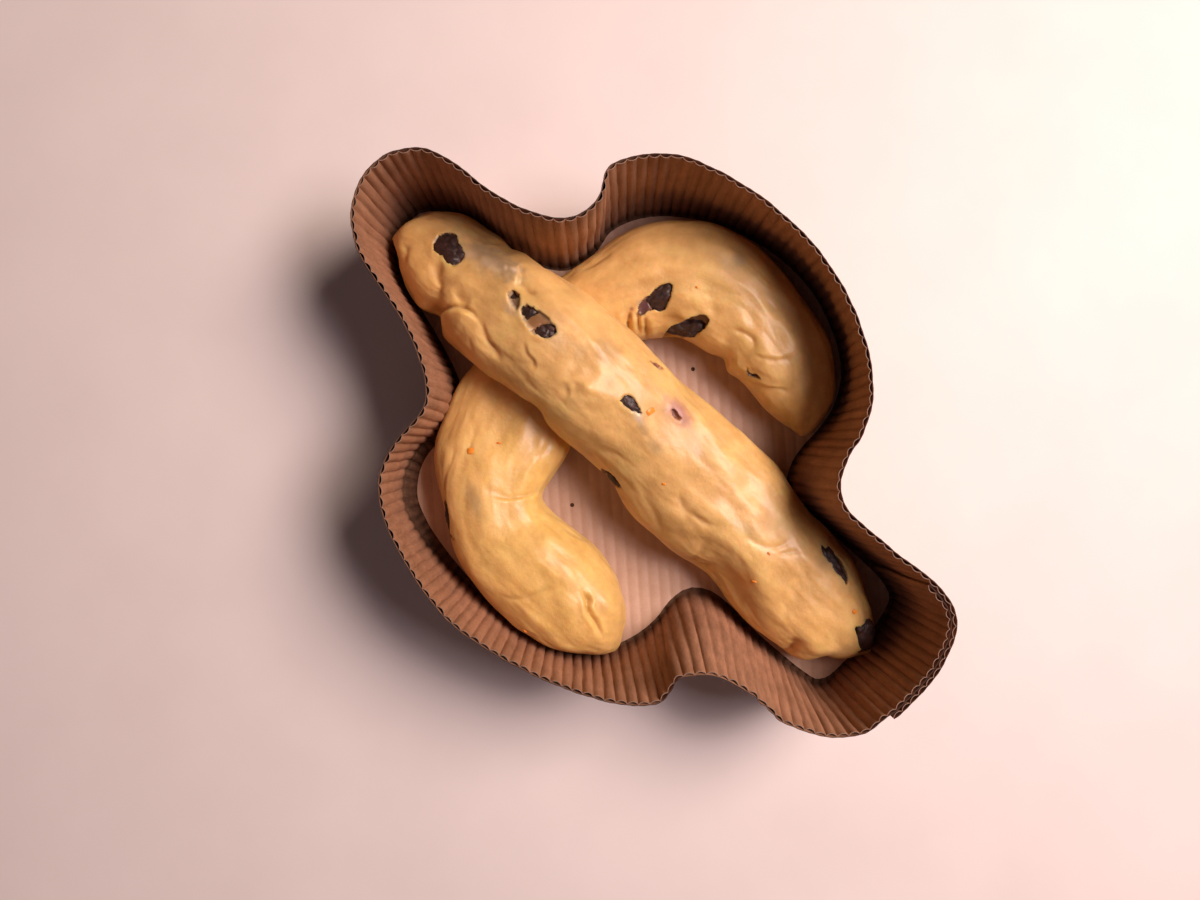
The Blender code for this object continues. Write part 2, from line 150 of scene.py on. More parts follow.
WINGS = (
    ((58.5, -70.5), (58.5, -83), 6, 21),
    ((54.5, -62), (52.5, -90.6), 3.3, 29),
    ((46, -56.8), (42.5, -97), 2.8, 34),
    ((34.8, -52.6), (27.5, -100.8), 2.8, 36.5),
    ((22, -50.8), (12.5, -102), 2.8, 37.5),
    ((8, -52.2), (-3.5, -101.8), 2.8, 38),
    ((-4, -53.2), (-19.5, -98.4), 2.8, 36.5),
    ((-11, -51), (-38, -87.5), 2.8, 36),
    ((-13.5, -41), (-53, -78), 2.8, 35),
    ((-16.5, -28), (-63.5, -65), 2.8, 33),
    ((-26, -14), (-71, -47), 2.8, 29.5),
    ((-33, 8), (-77, -18), 2.8, 26.5),
    ((-29.7, 28), (-76.5, 17), 2.8, 28.5),
    ((-23.8, 36.8), (-73, 41), 2.8, 32),
    ((-17.3, 44), (-66.3, 61.5), 2.8, 35.5),
    ((-8.7, 46.9), (-53, 80.2), 2.8, 38),
    ((1.8, 48.9), (-31.5, 92.6), 2.8, 38.5),
    ((11.5, 49.6), (-5, 95.3), 2.8, 37.5),
    ((20.5, 49.4), (17, 93.6), 2.8, 36),
    ((28.5, 48.6), (35.5, 87), 2.8, 33.5),
    ((36.5, 48.2), (48.2, 76.8), 2.8, 30),
    ((44.5, 48.6), (53.5, 67), 3.5, 25),
    ((49.5, 50.5), (54.3, 58.5), 6, 19),
)
RING_STEP = 0.75
TOP_SAMPLES, UNDER_SAMPLES = 140, 34
WIDEST_AT = 0.42
END_DOME = 3.4
DOME_RINGS = 6
END_REACH = 26.0
EDGE_DRAW = 0.9
UNDERCUT = 0.8
FRUIT_OVERLAP = 1.7
FRUIT_BEND = 0.12
ROLL_GAP = 0.3
# How squarely a cross-section bulges, sideways and in height: 1 is an ellipse, and less is squarer.
TOP_BULGE = (0.84, 0.90)
UNDER_BULGE = (0.6, 0.75)
FRUIT_BULGE, ZEST_BULGE = 0.88, 0.75
# Each roll's broad lumps, smaller lumps, streaks along it, and folds.
BODY_LUMPS = (1.5, 1.3, 0.32, 0.5)
WINGS_LUMPS = (1.6, 1.3, 0.27, 0.4)


# ---- numbers and curves ----

SEED_SHIFT = 17.3
NOISE_GAIN = 1.5
MIX_STEPS = np.array([374761393, 668265263, 2147483647])
MIX_LAST = 1274126177


def unit(ways):
    return ways / np.linalg.norm(ways, axis=-1, keepdims=True)


SLOPES = unit(np.random.default_rng(5).normal(size=(256, 3)))


def noise_at(points, scale, seed):
    """Smooth gradient noise from about -1 to 1 that changes over `scale` millimetres."""
    place = np.asarray(points, float) / scale + SEED_SHIFT * seed
    cell = np.floor(place).astype(np.int64)
    part = place - cell
    ease = part**3 * (part * (part * 6 - 15) + 10)
    total = np.zeros(len(place))
    for corner in itertools.product((0, 1), repeat=3):
        mixed = ((cell + corner) * MIX_STEPS).sum(1)
        mixed = (mixed ^ (mixed >> 13)) * MIX_LAST
        slope = SLOPES[(mixed ^ (mixed >> 16)) % len(SLOPES)]
        weight = np.where(corner, ease, 1 - ease).prod(1)
        total += weight * ((part - corner) * slope).sum(1)
    return total * NOISE_GAIN


def smooth_step(value):
    value = np.clip(value, 0.0, 1.0)
    return value * value * (3.0 - 2.0 * value)


def spline(rows, closed, per_span=12):
    """Points on a centripetal Catmull-Rom curve through the rows, which may hold any number of values."""
    rows = np.asarray(rows, float)
    count = len(rows)
    if closed:
        padded = np.vstack([rows[-1:], rows, rows[:2]])
    else:
        padded = np.vstack([2 * rows[:1] - rows[1:2], rows, 2 * rows[-1:] - rows[-2:-1]])
    steps = np.linspace(0.0, 1.0, per_span, endpoint=False)[:, None]
    out = []
    for i in range(count if closed else count - 1):
        p0, p1, p2, p3 = padded[i : i + 4]
        gaps = [math.sqrt(max(np.linalg.norm(b - a), 1e-6)) for a, b in ((p0, p1), (p1, p2), (p2, p3))]
        t1 = gaps[0]
        t2 = t1 + gaps[1]
        t3 = t2 + gaps[2]
        t = t1 + steps * gaps[1]
        a1 = (t1 - t) / t1 * p0 + t / t1 * p1
        a2 = (t2 - t) / (t2 - t1) * p1 + (t - t1) / (t2 - t1) * p2
        a3 = (t3 - t) / (t3 - t2) * p2 + (t - t2) / (t3 - t2) * p3
        b1 = (t2 - t) / t2 * a1 + t / t2 * a2
        b2 = (t3 - t) / (t3 - t1) * a2 + (t - t1) / (t3 - t1) * a3
        out.append((t2 - t) / (t2 - t1) * b1 + (t - t1) / (t2 - t1) * b2)
    out.append(rows[:1] if closed else rows[-1:])
    return np.vstack(out)


def lengths(points):
    """How far along a path of points each of them is."""
    return np.concatenate([[0.0], np.cumsum(np.linalg.norm(np.diff(points, axis=0), axis=1))])


class Loop:
    """A closed outline that can be read at any fraction of its length."""

    def __init__(self, knots):
        self.points = spline(knots, closed=True)
        self.along = lengths(self.points)
        self.length = self.along[-1]

    def at(self, fraction):
        where = np.mod(fraction, 1.0) * self.length
        return np.stack([np.interp(where, self.along, self.points[:, k]) for k in (0, 1)], axis=-1)

    def inward(self, fraction):
        """Unit normals that point to the inside of an anticlockwise outline."""
        reach = 2.0 / self.length
        tangent = unit(self.at(fraction + reach) - self.at(fraction - reach))
        return np.stack([-tangent[..., 1], tangent[..., 0]], axis=-1)


# ---- pieces ----

def put(name, data):
    made = bpy.data.objects.new(name, data)
    bpy.context.scene.collection.objects.link(made)
    return made


def make_mesh(name, points, faces, looks, face_looks=None, tint=None, smooth=True):
    """An object from points in millimetres. tint is a colour for each point, kept as a mesh attribute."""
    mesh = bpy.data.meshes.new(name)
    points = np.asarray(points, float) * MM
    mesh.from_pydata(points.tolist(), [], faces)
    for look in looks:
        mesh.materials.append(look)
    if face_looks is not None:
        mesh.polygons.foreach_set("material_index", face_looks)
    if tint is not None:
        layer = mesh.color_attributes.new("tint", "FLOAT_COLOR", "POINT")
        rgba = np.column_stack([tint, np.ones(len(tint))])
        layer.data.foreach_set("color", rgba.ravel())
    mesh.update()
    if smooth:
        mesh.shade_smooth()
    return put(name, mesh)


def make_solid(name, points, faces, looks, face_looks=None, crease=None):
    """A closed mesh whose faces point out, flat, or smooth but for creases of so many degrees."""
    made = make_mesh(name, points, faces, looks, face_looks, smooth=crease is not None)
    work = bmesh.new()
    work.from_mesh(made.data)
    bmesh.ops.recalc_face_normals(work, faces=work.faces)
    work.to_mesh(made.data)
    work.free()
    if crease is not None:
        made.data.set_sharp_from_angle(angle=math.radians(crease))
    return made


def finish_piece(made, slot, *nodes):
    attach(made, "root")
    if nodes:
        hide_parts(*nodes)


# ---- materials ----

class Shader:
    """A Principled material whose nodes are added in words."""

    def __init__(self, name, roughness, **sockets):
        self.material = bpy.data.materials.new(name)
        self.material.use_nodes = True
        self.tree = self.material.node_tree
        self.main = self.tree.nodes["Principled BSDF"]
        self.main.inputs["Roughness"].default_value = roughness
        for socket, value in sockets.items():
            self.main.inputs[socket.replace("_", " ")].default_value = value
        self.place = self.tree.nodes.new("ShaderNodeTexCoord").outputs["Object"]

    def node(self, kind, links=(), **values):
        made = self.tree.nodes.new(kind)
        for key, value in values.items():
            setattr(made, key, value)
        for socket, source in dict(links).items():
            if isinstance(source, bpy.types.NodeSocket):
                self.tree.links.new(source, made.inputs[socket])
            else:
                made.inputs[socket].default_value = source
        return made

    def stretched(self, scale):
        """Object coordinates scaled by an amount for each axis."""
        return self.node("ShaderNodeMapping", {"Vector": self.place, "Scale": scale}).outputs["Vector"]

    def noise(self, size_mm, detail=4.0, rough=0.55, place=None):
        links = {"Vector": place or self.place, "Scale": 1.0 / (size_mm * MM)}
        links.update(Detail=detail, Roughness=rough)
        return self.node("ShaderNodeTexNoise", links).outputs["Fac"]

    def height(self, full_mm, ragged_mm):
        """Height above the table as a share of full_mm, made ragged by noise that runs up and down."""
        z = self.node("ShaderNodeSeparateXYZ", {"Vector": self.place}).outputs["Z"]
        noise = self.noise(4.0, 3.0, 0.6, self.stretched((1.0, 1.0, 0.25)))
        lifted = self.node("ShaderNodeMath", {0: noise, 1: ragged_mm * MM, 2: z}, operation="MULTIPLY_ADD")
        links = {0: lifted.outputs[0], 1: 1.0 / (full_mm * MM)}
        return self.node("ShaderNodeMath", links, operation="MULTIPLY").outputs[0]

    def ramp(self, value, *stops):
        """Colours by a value. Each stop has its place and its colour, or one number for a grey."""
        made = self.node("ShaderNodeValToRGB", {"Fac": value})
        elements = made.color_ramp.elements
        while len(elements) < len(stops):
            elements.new(0.5)
        for element, (where, colour) in zip(elements, stops):
            element.position = where
            element.color = (*np.broadcast_to(colour, 3), 1.0)
        return made.outputs["Color"]

    def shaded(self, base, amount, value, *stops):
        """The base multiplied by a ramp, by an amount from 0 to 1."""
        made = self.node("ShaderNodeMix", data_type="RGBA", blend_type="MULTIPLY")
        sockets = {i.identifier: i for i in made.inputs}
        sockets["Factor_Float"].default_value = amount
        self.tree.links.new(base, sockets["A_Color"])
        self.tree.links.new(self.ramp(value, *stops), sockets["B_Color"])
        return next(o for o in made.outputs if o.identifier == "Result_Color")

    def colour(self, source):
        self.tree.links.new(source, self.main.inputs["Base Color"])

    def roughness(self, source, low, high):
        spread = self.node("ShaderNodeMapRange", {"Value": source, "To Min": low, "To Max": high})
        self.tree.links.new(spread.outputs["Result"], self.main.inputs["Roughness"])

    def bump(self, source, height_mm, before=None):
        links = {"Height": source, "Distance": height_mm * MM, "Strength": 1.0}
        if before is not None:
            links["Normal"] = before
        made = self.node("ShaderNodeBump", links).outputs["Normal"]
        self.tree.links.new(made, self.main.inputs["Normal"])
        return made


def kraft_look(name, foot):
    """Brown board, with painted shade that darkens it towards its foot down to a share of its colour."""
    made = Shader(name, 0.82, Specular_IOR_Level=0.25)
    fibres = made.noise(0.9, 6.0, 0.7, made.stretched((1.0, 1.0, 0.22)))
    streaks = made.noise(2.6, 3.0, 0.6, made.stretched((1.0, 1.0, 0.06)))
    specks = made.noise(0.55, 2.0)
    base = made.ramp(made.noise(14.0, 3.0), (0.3, (0.33, 0.165, 0.092)), (0.7, (0.42, 0.215, 0.125)))
    base = made.shaded(base, 0.8, streaks, (0.3, 0.78), (0.7, 1.15))
    base = made.shaded(base, 0.55, fibres, (0.25, 0.72), (0.75, 1.25))
    base = made.shaded(base, 0.5, specks, (0.28, 0.55), (0.4, 1.0))
    # Painted shade: the board darkens towards the table, down to the foot share.
    made.colour(made.shaded(base, 1.0, made.height(18.0, 9.0), (0.24, foot), (0.85, 1.0)))
    made.bump(fibres, 0.12, made.bump(streaks, 0.2))
    return made.material


def liner_edge_look():
    made = Shader("shaded_liner_edge", 0.9)
    fibres = made.noise(0.5, 4.0, 0.7)
    # Painted shade: the liner's cut top edge is near black, much darker than the board itself.
    made.colour(made.ramp(fibres, (0.3, (0.025, 0.015, 0.012)), (0.75, (0.07, 0.04, 0.03))))
    return made.material


def cut_edge_look():
    made = Shader("cut_edge", 0.9)
    fibres = made.noise(0.5, 4.0, 0.7)
    made.colour(made.ramp(fibres, (0.3, (0.20, 0.115, 0.08)), (0.75, (0.44, 0.30, 0.24))))
    made.bump(fibres, 0.15)
    return made.material


def floor_look():
    made = Shader("floor_paper", 0.55)
    fibres = made.noise(0.7, 5.0, 0.7)
    base = made.ramp(made.noise(9.0, 3.0), (0.3, (0.53, 0.335, 0.235)), (0.7, (0.61, 0.40, 0.29)))
    made.colour(made.shaded(base, 0.35, fibres, (0.3, 0.8), (0.7, 1.1)))
    made.bump(fibres, 0.05)
    return made.material


def dough_look():
    made = Shader("raw_dough", 0.45, Subsurface_Weight=0.65, Coat_Weight=0.3, Coat_Roughness=0.28)
    made.main.inputs["Subsurface Scale"].default_value = 0.005
    made.main.inputs["Subsurface Radius"].default_value = (1.0, 0.5, 0.22)
    tint = made.node("ShaderNodeVertexColor", layer_name="tint").outputs["Color"]
    grain = made.noise(1.3, 4.0, 0.6)
    base = made.shaded(tint, 0.6, made.noise(16.0, 4.0), (0.32, (0.84, 0.79, 0.70)), (0.66, 1.08))
    patches = made.noise(5.5, 3.0)
    base = made.shaded(base, 0.5, patches, (0.35, (0.88, 0.83, 0.74)), (0.6, (1.05, 1.06, 1.06)))
    made.colour(made.shaded(base, 0.3, grain, (0.3, 0.9), (0.7, 1.06)))
    made.roughness(made.noise(4.0, 4.0), 0.38, 0.68)
    made.bump(made.noise(3.5, 4.0), 0.3, made.bump(grain, 0.12))
    return made.material


def raisin_look(name, dark, middle, light):
    made = Shader(name, 0.5, Coat_Weight=0.12, Coat_Roughness=0.25)
    made.colour(made.ramp(made.noise(2.6, 4.0), (0.3, dark), (0.6, middle), (0.8, light)))
    made.roughness(made.noise(1.2, 3.0), 0.38, 0.7)
    made.bump(made.noise(0.8, 3.0), 0.12)
    return made.material


def zest_look():
    made = Shader("orange_zest", 0.35, Subsurface_Weight=0.3, Subsurface_Scale=0.002)
    pores = made.noise(0.6, 2.0)
    made.colour(made.ramp(pores, (0.3, (0.85, 0.22, 0.02)), (0.7, (0.95, 0.38, 0.05))))
    made.bump(pores, 0.1)
    return made.material


# ---- the case ----

RIM_LOOP, FOOT_LOOP = Loop(RIM), Loop(FOOT)
LAP = LAP_LENGTH / RIM_LOOP.length
EASE = LAP_EASE / RIM_LOOP.length
FLUTES = round(RIM_LOOP.length * (1 + LAP) / FLUTE_PITCH)


def upright(count=480, reach=0.03, rounds=400):
    """Fractions of the rim, and how much further along the foot the foot's nearest point is, evened out."""
    fraction = np.arange(count) / count
    ways = np.linspace(-reach, reach, 61)
    foot = FOOT_LOOP.at(fraction[:, None] + ways)
    away = np.linalg.norm(foot - RIM_LOOP.at(fraction)[:, None], axis=2)
    shift = ways[away.argmin(axis=1)]
    for _ in range(rounds):
        shift = (np.roll(shift, 1) + 2 * shift + np.roll(shift, -1)) / 4
    return fraction, shift


UPRIGHT = upright()


def foot_under(fraction):
    """The fraction of the foot that stands under a fraction of the rim, so that the flutes are upright."""
    return fraction + np.interp(fraction, *UPRIGHT, period=1.0)


def crumple(flat, height):
    """How far the board bulges inward, so that it isn't a perfect wall, and where it has buckled."""
    place = np.concatenate([flat, height[..., None]], axis=-1).reshape(-1, 3)
    broad = noise_at(place, 30.0, 1) * WALL_WAVE
    small = noise_at(place * (1.0, 1.0, 0.5), 8.0, 2) * WALL_DIMPLE
    near = np.exp(-((np.linalg.norm(place[:, :2] - BUCKLE_AT, axis=1) / BUCKLE_REACH) ** 2))
    buckled = near * (BUCKLE_DEPTH * noise_at(place * (1.0, 1.0, 0.35), 3.6, 3) - 0.5)
    fade = np.clip(place[:, 2] / WALL_STEADY_UNDER, 0.0, 1.0)
    return ((broad + small + buckled) * fade).reshape(height.shape)


def strip(samples, rows, depth_of):
    """A grid of points on the wall strip: a column for each sample of each flute, a row for each of rows.

    A row has an inset, a height and a turn, from 0 where the board stands to 1 where its hem lies flat.
    """
    columns = samples * FLUTES + 1
    fraction = np.linspace(0.0, 1.0 + LAP, columns)
    phase = np.arange(columns) / samples
    under_lap = 1.0 - smooth_step((fraction - LAP + EASE) / EASE)
    inner_layer = smooth_step((fraction - 1.0 + EASE) / EASE) * (BOARD + LAP_GAP)
    insets, heights, turns = (np.array(part)[:, None] for part in zip(*rows))
    grid_fraction = np.repeat(fraction[None, :], len(rows), axis=0)
    grid_height = np.repeat(heights, columns, axis=1)
    share = np.clip(grid_height / CASE_HEIGHT, 0.0, 1.0)[..., None]
    grid_foot = foot_under(grid_fraction)
    flat = FOOT_LOOP.at(grid_foot) * (1 - share) + RIM_LOOP.at(grid_fraction) * share
    inward = unit(FOOT_LOOP.inward(grid_foot) * (1 - share) + RIM_LOOP.inward(grid_fraction) * share)
    depth = np.broadcast_to(depth_of(phase, grid_height), grid_height.shape)
    level = depth * np.cos(turns * math.pi / 2) + inner_layer + insets * (1.0 - LAP_TUCK * under_lap)
    flat = flat + inward * (level + crumple(flat, grid_height))[..., None]
    return np.concatenate([flat, (grid_height + depth * np.sin(turns * math.pi / 2))[..., None]], axis=-1)


def flute_depth(phase, height):
    """Rounded flutes that meet the liner in narrow creases, each a little different."""
    place = np.stack([phase + height * 0, height / 16.0, height * 0], axis=-1).reshape(-1, 3)
    sway = (FLUTE_SWAY * noise_at(place, 1.7, 4)).reshape(height.shape)
    flattened = (0.16 * noise_at(place, 1.1, 6)).reshape(height.shape)
    round_share = np.abs(np.sin(math.pi * (phase + sway))) ** FLUTE_ROUND
    number = np.floor(phase)
    uneven = 0.93 + FLUTE_UNEVEN * np.sin(number * 12.9898) * np.cos(number * 4.1414)
    uneven = uneven + np.minimum(flattened, 0.04)
    return LINER + MEDIUM + (FLUTE_DEPTH - MEDIUM) * round_share * uneven


def thin_solid(front, back):
    """Points and faces of a closed sheet between two grids, and which faces are its cut top edge."""
    grid = np.arange(front.shape[0] * front.shape[1]).reshape(front.shape[:2])
    a, b = grid[:-1], grid[1:]
    quads = np.stack([a[:, :-1], a[:, 1:], b[:, 1:], b[:, :-1]], axis=-1).reshape(-1, 4)
    faces = [quads, quads[:, ::-1] + grid.size]
    for edge, turn in ((grid[0], 1), (grid[-1], -1), (grid[:, 0], -1), (grid[:, -1], 1)):
        side = np.column_stack([edge[:-1], edge[:-1] + grid.size, edge[1:] + grid.size, edge[1:]])
        faces.append(side[:, ::turn])
    before_top, top = (sum(map(len, faces[:k])) for k in (3, 4))
    faces = np.concatenate(faces)
    looks = np.zeros(len(faces), int)
    looks[before_top:top] = 1
    return np.concatenate([front.reshape(-1, 3), back.reshape(-1, 3)]), faces.tolist(), looks


def make_wall(kraft, edge, outside, shaded_liner_edge):
    rows = [*FOOT_ROWS, *((0.0, h, 0.0) for h in np.linspace(UPRIGHT_FROM, CASE_HEIGHT, WALL_ROWS))]
    front = strip(FLUTE_SAMPLES, rows, flute_depth)
    back = strip(FLUTE_SAMPLES, rows, lambda phase, height: flute_depth(phase, height) - MEDIUM)
    outer = strip(LINER_SAMPLES, rows, lambda phase, height: LINER_WASH * (np.cos(math.tau * phase) + 1))
    inner = strip(LINER_SAMPLES, rows, lambda phase, height: LINER)
    for name, near, far, looks, crease in (
        ("case_flutes", front, back, [kraft, edge], 70),
        ("case_liner", inner, outer, [outside, shaded_liner_edge], 60),
    ):
        points, faces, face_looks = thin_solid(near, far)
        made = make_solid(name, points, faces, looks, face_looks, crease)
        finish_piece(made, "kraft_board", "case_wall")


def floor_outline(inset, short=True, count=240):
    """The foot's outline, drawn in, and if short is true further in where the floor sheet falls short."""
    fraction = np.linspace(0.0, 1.0, count, endpoint=False)
    edge = FOOT_LOOP.at(fraction)
    gap = np.full(count, inset)
    for middle, reach, extra in SHEET_SHORT:
        away = np.linalg.norm(edge - middle, axis=1)
        gap += extra * (1.0 - smooth_step(away / reach)) * short
    return edge + FOOT_LOOP.inward(fraction) * gap[:, None]


def prism(name, outline, low, high, look):
    count = len(outline)
    points = [(*p, low) for p in outline] + [(*p, high) for p in outline]
    faces = [tuple(range(count))[::-1], tuple(range(count, 2 * count))]
    faces += [(i, (i + 1) % count, count + (i + 1) % count, count + i) for i in range(count)]
    return make_solid(name, points, faces, [look])


def boolean(target, other, operation):
    made = target.modifiers.new(operation, "BOOLEAN")
    made.operation = operation
    made.object = other
    graph = bpy.context.evaluated_depsgraph_get()
    mesh = bpy.data.meshes.new_from_object(target.evaluated_get(graph))
    target.modifiers.clear()
    target.data = mesh
    bpy.data.objects.remove(other)


def ribbed_slab(name, middle_z, look, reach=190.0):
    """A sheet with straight shallow ribs, big enough to be cut to the floor's outline."""
    across, along = np.arange(-reach, reach, RIB_PITCH / 8), np.linspace(-reach, reach, 40)
    u, v = np.meshgrid(across, along, indexing="ij")
    rise = RIB_DEPTH * (np.abs(np.sin(math.pi * (u / RIB_PITCH))) ** 0.6 - 1.0)
    flat = np.column_stack([u.ravel(), v.ravel(), v.ravel() * 0])
    rise += SHEET_WAVE * noise_at(flat, 18.0, 5).reshape(u.shape)
    turn = math.radians(RIB_HEADING - 90.0)
    x = u * math.cos(turn) - v * math.sin(turn)
    y = u * math.sin(turn) + v * math.cos(turn)
    top = np.stack([x, y, middle_z + rise], axis=-1)
    points, faces, _ = thin_solid(top, top - (0.0, 0.0, SHEET_THICK))
    return make_solid(name, points, faces, [look])


def make_floor(cream, kraft):
    sheet = ribbed_slab("case_floor_sheet", FLOOR_TOP, cream)
    turns = np.linspace(0, math.tau, 20, endpoint=False)
    ring = VENT_RADIUS * np.column_stack([np.cos(turns), np.sin(turns)])
    cuts = [(floor_outline(FLOOR_GAP), "INTERSECT"), *((ring + vent, "DIFFERENCE") for vent in VENTS)]
    for outline, operation in cuts:
        boolean(sheet, prism("cutter", outline, -CUTTER_REACH, CUTTER_REACH, cream), operation)
    sheet.data.shade_smooth()
    sheet.data.set_sharp_from_angle(angle=math.radians(50))
    finish_piece(sheet, "floor_paper", "case_floor")
    outline = floor_outline(HEM_WIDTH + BACKING_GAP, short=False)
    backing = prism("case_floor_backing", outline, 0.0, FLOOR_TOP - SHEET_THICK - BACKING_DROP, kraft)
    finish_piece(backing, "kraft_board", "case_floor")


# ---- the dough ----

DOUGH = (0.775, 0.49, 0.185)
CREAM_DOUGH = (0.82, 0.59, 0.22)
PEACH = (0.64, 0.375, 0.13)
# Painted shade for the dough's folds.
CREASE_SHADE = (0.54, 0.28, 0.09)
GREY = (0.40, 0.28, 0.16)
FILM = (0.62, 0.46, 0.29)
PINK = (0.50, 0.24, 0.20)
PLUM = (0.11, 0.03, 0.035)
# Milky: thin skin over a raisin, and in two small spots by the neck painted glints.
MILK_AND_GLINT = (0.80, 0.66, 0.50)
# This dark brown is painted shade for the walls and rims of the skin's openings.
PIT_SHADE = (0.16, 0.06, 0.03)
RUST = (0.34, 0.12, 0.05)
# Painted light: a lighter, yellower tint for the lit wing towards -Y.
LIT_WING_YELLOW = (0.83, 0.58, 0.16)
ORANGE = (0.72, 0.30, 0.06)
MEMBRANE = (0.26, 0.11, 0.03)
DRIED = (0.20, 0.12, 0.07)


def beside(flat, path):
    """Distance of plan points from a path, above 0 on its left, and the place along it, 0 to 1."""
    path = np.asarray(path, float)
    if len(path) > 2:
        path = spline(path, closed=False, per_span=5)
    steps = np.linalg.norm(np.diff(path, axis=0), axis=1)
    starts = np.append(0.0, np.cumsum(steps))
    signed, along = np.full(len(flat), 1e9), np.zeros(len(flat))
    for k, (a, b) in enumerate(zip(path[:-1], path[1:])):
        way = (b - a) / steps[k]
        rel = flat - a
        reach = np.clip(rel @ way, 0.0, steps[k])
        off = rel - reach[:, None] * way
        away = np.linalg.norm(off, axis=1)
        closer = away < np.abs(signed)
        left = way[0] * off[:, 1] - way[1] * off[:, 0] >= 0
        signed = np.where(closer, np.where(left, away, -away), signed)
        along = np.where(closer, (starts[k] + reach) / starts[-1], along)
    return signed, along


def from_outline(flat, knots):
    """Distance of plan points from a closed outline, below 0 inside it, and the way out of it."""
    outline = spline(knots, closed=True, per_span=6)[:-1]
    nearest, foot = np.full(len(flat), 1e9), np.zeros((len(flat), 2))
    inside = np.zeros(len(flat), bool)
    for a, b in zip(outline, np.roll(outline, -1, axis=0)):
        way = b - a
        share = np.clip((flat - a) @ way / (way @ way), 0.0, 1.0)
        place = a + share[:, None] * way
        away = np.linalg.norm(flat - place, axis=1)
        closer = away < nearest
        nearest = np.where(closer, away, nearest)
        foot = np.where(closer[:, None], place, foot)
        crossed = (a[1] > flat[:, 1]) != (b[1] > flat[:, 1])
        level = a[0] + (flat[:, 1] - a[1]) / (way[1] if way[1] else 1e-9) * way[0]
        inside ^= crossed & (flat[:, 0] < level)
    side = np.where(inside, -1.0, 1.0)
    return nearest * side, (flat - foot) * (side / np.maximum(nearest, 1e-6))[:, None]


def bulged(value, power):
    """The size of each value raised to a power, with its sign kept."""
    return np.sign(value) * np.abs(value) ** power


def axes_on(out, ahead):
    """Axes along, across and out of a surface, from its way out and any way along."""
    ahead = unit(ahead - out * (ahead @ out))
    return np.array([ahead, np.cross(out, ahead), out])


